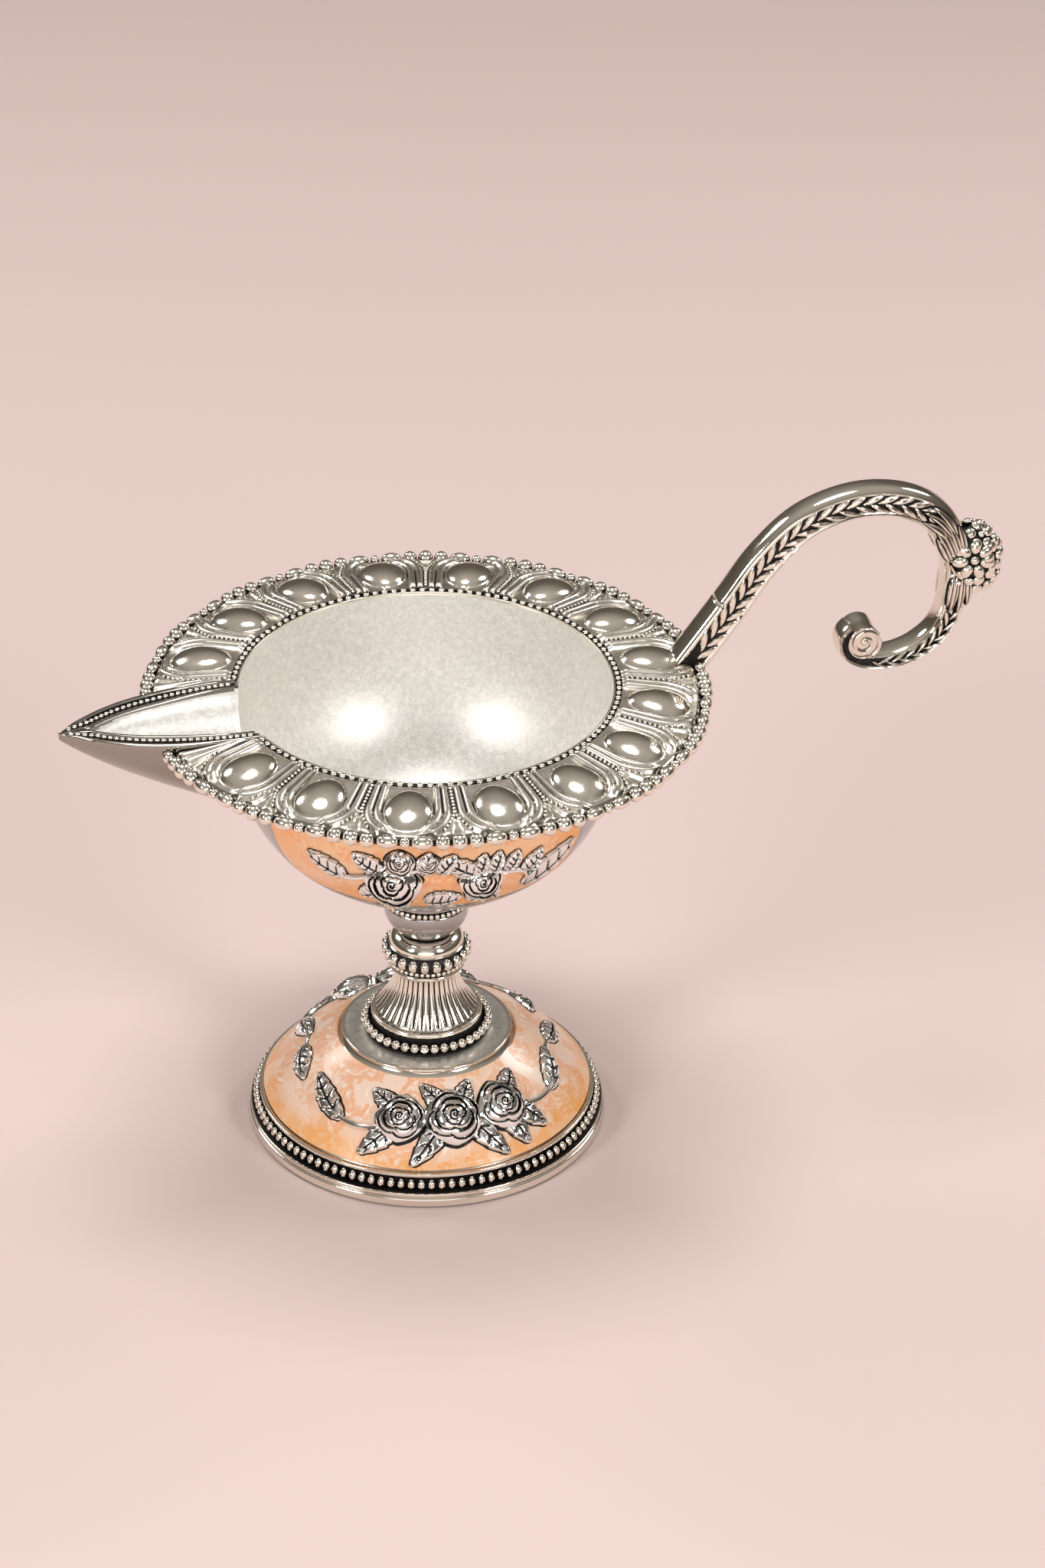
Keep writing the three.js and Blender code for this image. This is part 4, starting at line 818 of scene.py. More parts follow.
class DIYA_OT_foot(bpy.types.Operator):
    """Foot casting with its beaded groove"""

    bl_idname = "diya.foot"
    bl_label = "Foot"

    def execute(self, context):
        stand = context.scene.diya_stand
        bm = bmesh.new()
        outside = [dome_point(0.02 + 0.96 * step / 16, -ENAMEL_THICKNESS - 0.05) for step in range(17)]
        inside = [dome_point(0.88 - 0.84 * step / 8, -2.2) for step in range(9)]
        rim = rounded(
            (PAD_EDGE, FOOT_BOTTOM, 0), (FOOT_RADIUS, FOOT_BOTTOM, 0.5), (FOOT_RADIUS, FOOT_BOTTOM + 1.9, 0.35),
            (FOOT_RADIUS - 0.6, FOOT_BOTTOM + 2.1, 0.12), (FOOT_RADIUS - 0.25, FOOT_BOTTOM + 2.35, 0.2),
            (FOOT_RADIUS - 0.25, ROLL_TOP, 0.3), (BEAD_GROUND, ROLL_TOP, 0.1), (BEAD_GROUND, LIP_BOTTOM, 0.1),
            (LIP_RADIUS, LIP_BOTTOM, 0.2), (LIP_RADIUS, LIP_TOP, 0.25), (ENAMEL_EDGE - 0.3, LIP_TOP, 0.0))
        turned(bm, [*rim, *outside, (PLATE_RADIUS - 0.5, DOME_TOP), (ROD_RADIUS, DOME_TOP),
                    (ROD_RADIUS, DOME_TOP - PLATFORM_THICKNESS), (8.0, DOME_TOP - PLATFORM_THICKNESS), *inside,
                    (PAD_EDGE - 1.65, 5.0), (PAD_EDGE, 1.8)])

        def grounds(face):
            spot = face.calc_center_median()
            ring = BEAD_GROUND - 0.1 < spot.xy.length < LIP_RADIUS + 1.1
            return int(ring and ROLL_TOP - 0.02 < spot.z < LIP_BOTTOM + 0.02)

        new_piece("foot_casting", bm, ["bright", "black"], ["base_shell"], pick=grounds)
        bm = bmesh.new()
        bead_ring(bm, stand.foot_beads, BEAD_GROUND + 1.1, (ROLL_TOP + LIP_BOTTOM) / 2, (1.0, 0.86, 1.28), 0.14)
        new_piece("foot_bead_row", bm, ["bright"], ["foot_beads"])
        return {"FINISHED"}


class DIYA_OT_dome_enamel(bpy.types.Operator):
    """Enamelled dome of the foot"""

    bl_idname = "diya.dome_enamel"
    bl_label = "Dome Enamel"

    def execute(self, context):
        bm = bmesh.new()
        reach = ENAMEL_END - ENAMEL_START
        outer = [dome_point(ENAMEL_START + reach * step / 28, 0.0) for step in range(29)]
        inner = [dome_point(ENAMEL_END - reach * step / 8, -ENAMEL_THICKNESS) for step in range(9)]
        turned(bm, [*outer, *inner])

        def border(spot):
            share = (spot.z - LIP_TOP) / (DOME_TOP - LIP_TOP)
            return max(ease((0.42 - share) / 0.36), 0.5 * ease((share - 0.86) / 0.14))

        new_piece("dome_enamel", bm, ["enamel"], ["base_enamel"], border=border)
        return {"FINISHED"}


class DIYA_OT_stem(bpy.types.Operator):
    """Collar plate, beaded collar, fluted trumpet, knop and neck cup"""

    bl_idname = "diya.stem"
    bl_label = "Stem"

    def execute(self, context):
        stand = context.scene.diya_stand
        self.collar(stand)
        self.trumpet(stand)
        self.knop(stand)
        self.neck()
        return {"FINISHED"}

    def collar(self, stand):
        """Satin plate, blackened collar and its beads."""
        bm = bmesh.new()
        turned(bm, rounded(
            (PLATE_HOLE, DOME_TOP, 0), (PLATE_RADIUS, DOME_TOP, 0.2), (PLATE_RADIUS, PLATE_TOP, 0.35),
            (PLATE_RADIUS - 0.9, PLATE_TOP, 0.1), (PLATE_HOLE, PLATE_TOP, 0)))
        new_piece("stem_plate", bm, ["brushed", "bright"], ["collar_plate"],
                  pick=lambda face: int(face.calc_center_median().xy.length > PLATE_RADIUS - 0.75))
        bm = bmesh.new()
        turned(bm, rounded(
            (COLLAR_HOLE, PLATE_TOP, 0), (COLLAR_REACH, PLATE_TOP, 0.15), (COLLAR_REACH, PLATE_TOP + 0.5, 0.2),
            (COLLAR_GROUND, PLATE_TOP + 0.7, 0.2), (COLLAR_GROUND, COLLAR_TOP, 0.2), (COLLAR_HOLE, COLLAR_TOP, 0)))
        new_piece("collar_ground", bm, ["black"], ["collar_ring"])
        bm = bmesh.new()
        bead_ring(bm, stand.collar_beads, COLLAR_BEAD_RADIUS, PLATE_TOP + 1.85, (1.05, 1.02, 1.05))
        new_piece("collar_bead_row", bm, ["bright"], ["collar_beads"])

    def trumpet(self, stand):
        """Reeded trumpet on a plain lip."""
        bm = bmesh.new()
        depth = stand.flute_depth / MM
        rise = TRUMPET_TOP - FLUTE_BOTTOM
        shares = [0.0, 0.01, 0.02, 0.03, 0.04, 0.055, 0.07, 0.09, 0.12, *(0.15 + 0.85 * k / 16 for k in range(17))]
        line = [(TRUMPET_NARROW + (TRUMPET_WIDE - TRUMPET_NARROW) * (1 - share) ** 1.9, FLUTE_BOTTOM + rise * share)
                for share in shares]

        def flute(vert):
            radius = vert.co.xy.length
            if radius < FLUTE_LEAST:
                return
            share = (vert.co.z - FLUTE_BOTTOM) / rise
            turn = (math.atan2(vert.co.y, vert.co.x) / math.tau * stand.flutes) % 1.0
            bend = abs(2 * turn - 1)
            edge = 0.02 + 0.05 * (1 - math.sqrt(max(0.0, 1 - bend * bend)))
            cut = depth * max(bend ** 3, 1 - ease((share - edge) / 0.03)) * (0.6 + 0.4 * radius / TRUMPET_WIDE)
            vert.co.xy = vert.co.xy * ((radius - cut) / radius)

        def groove(face):
            spot = face.calc_center_median()
            turn = (math.atan2(spot.y, spot.x) / math.tau * stand.flutes) % 1.0
            raised = spot.z > FLUTE_BOTTOM + 0.05 * rise
            return int(raised and abs(2 * turn - 1) > 0.8 and spot.xy.length > FLUTE_LEAST)

        hole = [(TRUMPET_HOLE, TRUMPET_TOP), (TRUMPET_HOLE, FLUTE_BOTTOM)]
        turned(bm, [*line, *hole], stand.flutes * 10, flute)
        turned(bm, rounded(
            (LIP_HOLE, COLLAR_TOP, 0), (TRUMPET_LIP, COLLAR_TOP, 0.4), (TRUMPET_LIP, FLUTE_BOTTOM, 0.5),
            (LIP_HOLE, FLUTE_BOTTOM, 0)))
        new_piece("fluted_trumpet", bm, ["aged", "black"], ["trumpet"], pick=groove)

    def knop(self, stand):
        """Knop with its large and small beads."""
        bm = bmesh.new()
        crown = [(NECK_RADIUS - 0.2 + 3.0 * math.cos(turn), KNOP_DOME_BOTTOM + 0.5 + 2.4 * math.sin(turn))
                 for turn in (math.radians(angle) for angle in range(0, 91, 9))]
        side = rounded(
            (5.0, TRUMPET_TOP, 0), (7.1, TRUMPET_TOP, 0.3), (KNOP_RING_RADIUS, TRUMPET_TOP + 0.8, 0.5),
            (KNOP_RING_RADIUS, KNOP_RING_TOP - 0.3, 0.4), (7.2, KNOP_RING_TOP, 0.1), (7.9, KNOP_RING_TOP + 0.8, 0.3),
            (9.15, KNOP_RING_TOP + 2.6, 0.8), (8.2, KNOP_DOME_BOTTOM, 0.3), (7.8, KNOP_DOME_BOTTOM + 0.2, 0.1))
        turned(bm, [*side, *crown, (STEM_HOLE, KNOP_TOP), (STEM_HOLE, TRUMPET_TOP)])
        new_piece("knop_turning", bm, ["bright", "black"], ["knop"],
                  pick=lambda face: int(KNOP_RING_TOP < face.calc_center_median().z < KNOP_DOME_BOTTOM + 0.05))
        bm = bmesh.new()
        bead_ring(bm, stand.knop_beads, KNOP_BEAD_RADIUS, KNOP_RING_TOP + 2.95, (1.2, 1.06, 1.36))
        new_piece("knop_bead_row", bm, ["bright"], ["knop_beads"])
        bm = bmesh.new()
        bead_ring(bm, 2 * stand.knop_beads, KNOP_RING_RADIUS, KNOP_RING_TOP + 0.8, (0.55, 0.53, 0.55))
        new_piece("knop_small_bead_row", bm, ["bright"], ["knop_small_beads"])

    def neck(self):
        """Flared neck with a beaded groove under the bowl."""
        bm = bmesh.new()
        flare = [(NECK_RADIUS + (CUP_RADIUS - NECK_RADIUS) * (1 - (1 - step / 14) ** 2.6),
                  KNOP_TOP + (CUP_BOTTOM - KNOP_TOP) * step / 14) for step in range(15)]
        turned(bm, [*flare, (CUP_RADIUS - 0.15, CUP_BOTTOM + 0.3), (CUP_RADIUS - 0.5, CUP_BOTTOM + 0.5),
                    (CUP_RADIUS - 0.5, CUP_BOTTOM + 2.0), (CUP_RADIUS + 0.4, CUP_BOTTOM + 2.2),
                    (CUP_REACH, BOWL_BOTTOM), (STEM_HOLE, BOWL_BOTTOM), (STEM_HOLE, KNOP_TOP)])
        # Neck in the much darker silver: painted shade.
        new_piece("neck_turning", bm, ["worn", "black"], ["neck_cup"],
                  pick=lambda face: int(CUP_BOTTOM + 0.3 < face.calc_center_median().z < CUP_BOTTOM + 2.1
                                        and face.calc_center_median().xy.length > NECK_RADIUS))
        bm = bmesh.new()
        bead_ring(bm, CUP_BEADS, CUP_RADIUS + 0.05, CUP_BOTTOM + 1.2, (0.62, 0.58, 0.68))
        new_piece("neck_bead_row", bm, ["bright"], ["neck_beads"])


class DIYA_OT_bowl(bpy.types.Operator):
    """Bowl with its satin inside and its two enamel panels"""

    bl_idname = "diya.bowl"
    bl_label = "Bowl"
    panel_columns = 96
    panel_rows = 48
    panel_gap = 0.45

    def execute(self, context):
        bm = bmesh.new()
        angles = [math.radians(0.5 + 89.5 * step / 44) for step in range(45)]
        outside = [bowl_point(angle, 0.0) for angle in angles]
        inside = [bowl_point(angle, -BOWL_WALL) for angle in reversed(angles)]
        wall = [BOWL_SHOULDER + (BOWL_TOP - BOWL_SHOULDER) * step / 14 for step in range(1, 15)]
        outline = [(0.0, BOWL_BOTTOM), *outside, *((BOWL_RADIUS, z) for z in wall),
                   *((BOWL_RADIUS - BOWL_WALL, z) for z in reversed(wall)), *inside, (0.0, BOWL_BOTTOM + BOWL_WALL)]
        turned(bm, outline, 2 * TURN_STEPS, self.shape)

        def inner(face):
            spot = face.calc_center_median()
            radial = Vector((spot.x, spot.y, 0.0))
            return int(face.normal.dot(radial) < 0 or (face.normal.z > 0.5 and spot.z < SPOUT_TOP - 0.4))

        # Outside of the bowl in the much darker silver, as painted shade; satin inside.
        new_piece("bowl_shell", bm, ["worn", "satin"], ["bowl"], pick=inner)
        for node, name, side in (("enamel_front", "front_panel", 1), ("enamel_back", "back_panel", -1)):
            self.panel(name, node, side)
        return {"FINISHED"}

    def shape(self, vert):
        """Recesses and notch of a point of the wall."""
        self.recess(vert)
        self.notch(vert)

    def recess(self, vert):
        """Sinks the ground of the enamel panels."""
        radius = vert.co.xy.length
        if radius < 12 or abs(radius - bowl_radius(vert.co.z)) > 0.4:
            return
        angle = math.degrees(math.atan2(-abs(vert.co.y), vert.co.x)) % 360.0
        if abs(angle - PANEL_CENTRE) < PANEL_SPAN / 2 and PANEL_BOTTOM < vert.co.z < PANEL_TOP:
            vert.co.xy = vert.co.xy * ((radius - PANEL_RECESS) / radius)

    def notch(self, vert):
        """Lowers the wall to the floor of the spout's channel."""
        if vert.co.x > 0 or abs(vert.co.y) > channel_half(0.0) or vert.co.z < BOWL_SHOULDER:
            return
        low = channel_floor(0.02, vert.co.y)
        share = (vert.co.z - BOWL_SHOULDER) / (BOWL_TOP - BOWL_SHOULDER)
        vert.co.z = BOWL_SHOULDER + (low - BOWL_SHOULDER) * share

    def panel(self, name, node, side):
        """Enamel panel let into the bowl's side."""
        bm = bmesh.new()
        low, high = PANEL_BOTTOM + self.panel_gap, PANEL_TOP - self.panel_gap

        def place(around, up):
            turn = min(1.0, up / 0.5) if up <= 0.5 else (1.0 - up) / 0.5
            out = -0.06 if up <= 0.5 else -PANEL_RECESS + 0.02
            height = low + (high - low) * turn
            angle = PANEL_CENTRE + (PANEL_SPAN - 1.8) * (around - 0.5)
            spot = polar(angle, bowl_radius(height) + out, height)
            return Vector((spot.x, spot.y * side, spot.z))

        patch(bm, self.panel_columns, self.panel_rows, place)

        def border(spot):
            angle = math.degrees(math.atan2(-abs(spot.y), spot.x)) % 360.0
            ends = ease((abs(angle - PANEL_CENTRE) / (PANEL_SPAN / 2) - 0.6) / 0.4)
            share = (spot.z - PANEL_BOTTOM) / (PANEL_TOP - PANEL_BOTTOM)
            return max(ends, ease((0.3 - share) / 0.3), 0.6 * ease((share - 0.6) / 0.4))

        new_piece(name, bm, ["deep_enamel"], [node], border=border)


class DIYA_OT_spout(bpy.types.Operator):
    """Pouring spout with its beaded borders"""

    bl_idname = "diya.spout"
    bl_label = "Spout"
    hull_steps = 46
    channel_steps = 24
    cap_rows = 8
    bead_share = 0.53
    bead_pitch = 1.25
    border_line = ((0.0, 0.0), (0.03, 0.45), (0.09, 0.6), (0.2, 0.6), (0.27, 0.4), (0.29, 0.0),
                   (0.78, 0.0), (0.8, 0.3), (0.84, 0.42), (0.93, 0.42), (0.99, 0.2))

    def execute(self, context):
        bm = bmesh.new()
        shares = [-0.05, *(0.03 + 0.9 * step / 34 for step in range(35)), 0.95, 0.965, 0.98, 0.992, 1.0]
        sections = [self.section(shares[0], 1 - row / self.cap_rows) for row in range(self.cap_rows)]
        sections += [self.section(share) for share in shares]
        around, rows = len(sections[0]), len(sections) - 1
        patch(bm, around, rows, lambda u, v: sections[round(v * rows)][round(u * around) % around])

        def kinds(face):
            spot = face.calc_center_median()
            share = (-spot.x - SPOUT_START) / (SPOUT_REACH - SPOUT_START)
            inset = spout_half(share) - abs(spot.y)
            width = border_width(share)
            # Hull and side walls in the darkest silver: painted shade.
            if face.normal.z < 0.2:
                return 0
            if inset > width * 0.985:
                return 1
            return 2 if 0.28 * width < inset < 0.79 * width else 0

        new_piece("spout_casting", bm, ["dim", "satin", "black"], ["spout"], pick=kinds)
        bm = bmesh.new()
        for side in (-1, 1):
            self.beads(bm, side)
        new_piece("spout_bead_rows", bm, ["bright"], ["spout_beads"])
        return {"FINISHED"}

    def section(self, share, close=0.0):
        """Points round the spout at a share of its run: hull, border, channel and border, closed by a share."""
        half = spout_half(share)
        width = border_width(share)
        depth = 1.2 + SPOUT_DEPTH * max(0.0, 1 - max(0.0, share)) ** 0.85
        lift = min(1.0, half / 3.0)
        flat = []
        for step in range(self.hull_steps):
            turn = math.pi * step / self.hull_steps
            flat.append((half * math.cos(turn), SPOUT_TOP - depth * math.sin(turn) ** 1.15))
        for part, height in self.border_line:
            flat.append((-half + part * width, SPOUT_TOP + height * lift))
        inner = half - width
        for step in range(self.channel_steps + 1):
            side = -inner * math.cos(math.pi * step / self.channel_steps)
            flat.append((side, channel_floor(share, side)))
        for part, height in reversed(self.border_line):
            flat.append((half - part * width, SPOUT_TOP + height * lift))
        along = SPOUT_START + (SPOUT_REACH - SPOUT_START) * share
        points = []
        for (side, height), (far_side, far_height) in zip(flat, reversed(flat)):
            side += (far_side - side) * close / 2
            height += (far_height - height) * close / 2
            wall = bowl_radius(min(height, BOWL_SHOULDER)) - BOWL_WALL / 2
            start = math.sqrt(max(0.0, wall ** 2 - side ** 2))
            points.append(Vector((-max(along, start), side, height)))
        return points

    def beads(self, bm, side):
        """Row of small beads in the groove along one side."""
        line = []
        for share in (step / 200 for step in range(201)):
            half = spout_half(share)
            width = border_width(share)
            line.append(Vector((-(SPOUT_START + (SPOUT_REACH - SPOUT_START) * share),
                                side * (half - self.bead_share * width), SPOUT_TOP + 0.12)))
        travelled = 0.6
        for first, second in zip(line, line[1:]):
            travelled += (second - first).length
            if travelled >= self.bead_pitch and abs(second.y) > 0.7:
                travelled = 0.0
                bead(bm, second, UP, second - first, (0.62, 0.5, 0.6))


class DIYA_OT_rim(bpy.types.Operator):
    """Lobed rim, its edge beads and the beaded ring round the opening"""

    bl_idname = "diya.rim"
    bl_label = "Rim"
    lobe_columns = 64
    end_columns = 14
    top_rows = 46
    middle_share = 0.5
    near_share = 0.42
    far_share = 0.4
    dome_share = 0.57
    rib_shares = (0.66, 0.845)
    rib_half = 0.088
    fan_share = 0.93

    def execute(self, context):
        rim = context.scene.diya_rim
        self.lobes = rim.lobes
        self.pitch = (360.0 - 2 * SPOUT_GAP) / rim.lobes
        self.width = FLANGE_OUTER - FLANGE_INNER
        self.half = math.radians(self.pitch / 2) * (FLANGE_INNER + FLANGE_OUTER) / 2
        self.rise = rim.lobe_rise / MM
        self.flange()
        self.edge(rim.edge_bead / MM)
        self.opening(rim.ring_beads)
        return {"FINISHED"}

    def arch(self, x, out):
        """Distance from the lobe's middle line of the arch that runs through a place, along its straight legs."""
        past = max(0.0, out - self.middle_share * self.width)
        spare = self.far_share * self.width - self.dome_share * self.half
        line = math.hypot(x, 0.9 * past)
        for _ in range(2):
            line = math.hypot(x, past * line / (line + spare))
        return line

    def fan(self, line, out):
        """Share of the fan between two lobes, from the outer rib to the middle of the fan."""
        start = self.fan_share * self.half
        return (line - start) / max(0.2, self.arch(self.half, out) - start)

    def oval(self, x, out):
        """Squared share of the way from a dome's middle to its foot, above 1 outside the dome."""
        beyond = out - self.middle_share * self.width
        length = (self.near_share if beyond < 0 else self.far_share) * self.width
        return (x / (self.dome_share * self.half)) ** 2 + (beyond / length) ** 2

    def relief(self, x, out):
        """Height of a lobe at a distance from its middle line and out from the inside edge."""
        height = self.rise * max(0.0, 1 - self.oval(x, out)) ** 0.6
        line = self.arch(x, out)
        leg = ease((x / (self.dome_share * self.half) - 0.3) / 0.5)
        for share in self.rib_shares:
            gap = (line / self.half - share) / self.rib_half
            height = max(height, 0.1 + 0.95 * math.sqrt(max(0.0, 1 - gap * gap)) * leg)
        gap = (self.fan(line, out) - 0.45) / 0.3
        return max(height, 0.1 + 0.4 * math.sqrt(max(0.0, 1 - gap * gap)) * ease((out - 7.5) / 3))

    def base(self, out):
        """Height of the flange's plain face at a distance out from its inside edge."""
        return FLANGE_TOP - FLANGE_FALL * out / self.width

    def flange(self):
        """Flange with its lobes in relief, closed round its thickness."""
        bm = bmesh.new()
        whole = self.lobes * self.lobe_columns
        columns = whole + 2 * self.end_columns
        section = [(self.width * step / self.top_rows, None) for step in range(self.top_rows + 1)]
        section += [(self.width + 0.45, -0.4), (self.width + 0.75, -0.9), (self.width + 0.75, -1.6),
                    (self.width + 0.3, -2.0)]
        section += [(self.width * (1 - step / 6), -FLANGE_THICKNESS) for step in range(7)]
        rows = len(section)

        def place(around, across):
            column = round(around * columns) - self.end_columns
            out, under = section[round(across * rows) % rows]
            radius = FLANGE_INNER + out
            if column < 0 or column > whole:
                share = (-column if column < 0 else column - whole) / self.end_columns
                along = math.sqrt(radius ** 2 - SPOUT_HALF ** 2)
                side = spout_half((along - SPOUT_START) / (SPOUT_REACH - SPOUT_START)) + 0.05
                turn = SPOUT_GAP + (math.degrees(math.asin(side / radius)) - SPOUT_GAP) * share
                angle = 180.0 + turn if column < 0 else 180.0 - turn
                relief = max(0.1 + 0.85 * math.sqrt(max(0.0, 1 - ((share - centre) / 0.2) ** 2))
                             for centre in (0.32, 0.76))
                relief = max(relief * ease(out / 4), self.relief(self.half, out) * (1 - 4 * share))
            else:
                angle = 180.0 + SPOUT_GAP + self.pitch * column / self.lobe_columns
                share = 2 * (column % self.lobe_columns) / self.lobe_columns - 1
                relief = self.relief(abs(share) * self.half, out)
            if under is None:
                fade = (0.5 + 0.5 * ease(out / 1.2)) * (1.0 - 0.5 * ease((out - self.width + 0.7) / 0.7))
                return polar(angle, radius, self.base(out) + relief * fade)
            return polar(angle, radius, self.base(out) + under)

        def kinds(face):
            spot = face.calc_center_median()
            out = spot.xy.length - FLANGE_INNER
            # Behind the edge beads, the outer chamfer takes the darkest silver and the outer wall black: painted
            # shade and painted shadow.
            if face.normal.z > -0.3 and out > self.width - 0.2:
                return 2 if out > self.width + 0.4 else 3
            share = (math.degrees(math.atan2(spot.y, spot.x)) - 180.0 - SPOUT_GAP) % 360.0 / self.pitch
            inside = share < self.lobes and self.oval(abs(share % 1.0 * 2 - 1) * self.half, out) < 1
            return 0 if inside else 1

        patch(bm, columns, rows, place)
        new_piece("lobed_flange", bm, ["aged", "soft", "black", "dim"], ["rim_flange"], pick=kinds)

    def edge(self, size):
        """Beads and bars along the edge, with lines of tiny beads between the lobes."""
        halves = {1: bmesh.new(), -1: bmesh.new()}
        height = EDGE_HEIGHT + 0.4
        arc = EDGE_RADIUS * math.radians(self.pitch / 2)
        for lobe in range(self.lobes):
            middle = 180.0 + SPOUT_GAP + self.pitch * (lobe + 0.5)
            bm = halves[1 if math.sin(math.radians(middle)) > 0 else -1]
            parts = [(0.0, 0.82 * size, 0.8 * size), (arc, 1.26 * size, 1.26 * size)]
            for side in (-1, 1):
                parts += [(side * 3.5, 1.05 * size, 2.25), (side * 7.55, 1.18 * size, 1.18 * size)]
            if lobe == 0:
                parts += [(-arc, 1.26 * size, 1.26 * size), (-arc - 3.2, 1.15 * size, 1.15 * size),
                          (-arc - 6.1, size, size)]
            if lobe == self.lobes - 1:
                parts += [(arc + 3.2, 1.15 * size, 1.15 * size), (arc + 6.1, size, size)]
            for offset, thick, long in parts:
                angle = middle + math.degrees(offset / EDGE_RADIUS)
                bead(bm, polar(angle, EDGE_RADIUS + 0.1, height), UP, polar(angle, 1.0, 0.0),
                     (thick, long, thick), 0.0, 12, 8)
            self.seeds(bm, middle)
        new_piece("front_edge_beads", halves[-1], ["aged"], ["rim_beads_front"])
        new_piece("back_edge_beads", halves[1], ["aged"], ["rim_beads_back"])

    def seeds(self, bm, middle):
        """Lines of tiny beads on both sides of a lobe, one line from the opening that parts towards the edge."""
        turn = self.pitch / 2 / self.half
        for side in (-1, 1):
            for step in range(13):
                out = 1.1 + 1.08 * step
                split = ease((out - 8.0) / 4.0)
                if side < 0 and split == 0:
                    continue
                x = self.half
                for _ in range(30 if split else 0):
                    if self.fan(self.arch(x, out), out) > 1 - 0.82 * split:
                        x -= 0.1
                angle = middle + side * x * turn
                size = 0.44 - 0.06 * split
                bead(bm, polar(angle, FLANGE_INNER + out, self.base(out) + 0.35), UP,
                     polar(angle, 1.0, 0.0), (size, size, 0.55))

    def opening(self, count):
        """Dark ring with a bright lip and a row of beads round the opening."""
        bm = bmesh.new()
        inner = BOWL_RADIUS - BOWL_WALL
        line = rounded((inner, BOWL_TOP, 0), (inner, RIM_TOP - 0.2, 0.1), (inner + 0.35, RIM_TOP - 0.2, 0.1),
                       (inner + 0.4, FLANGE_TOP - 0.3, 0.05), (BOWL_RADIUS + 0.15, FLANGE_TOP - 0.3, 0),
                       (BOWL_RADIUS + 0.1, BOWL_TOP, 0))

        def place(around, across):
            radius, height = line[round(across * len(line)) % len(line)]
            return polar(180.0 + SPOUT_GAP + (360.0 - 2 * SPOUT_GAP) * around, radius, height)

        patch(bm, 2 * TURN_STEPS, len(line), place)
        bead_ring(bm, count, inner + 1.05, FLANGE_TOP - 0.05, (0.62, 0.74, 0.62), skip=SPOUT_GAP + 0.5)

        def kinds(face):
            spot = face.calc_center_median()
            return int(spot.xy.length > inner + 0.38 and abs(spot.z - FLANGE_TOP + 0.3) < 0.02)

        new_piece("opening_bead_ring", bm, ["bright", "black"], ["opening_ring"], pick=kinds)


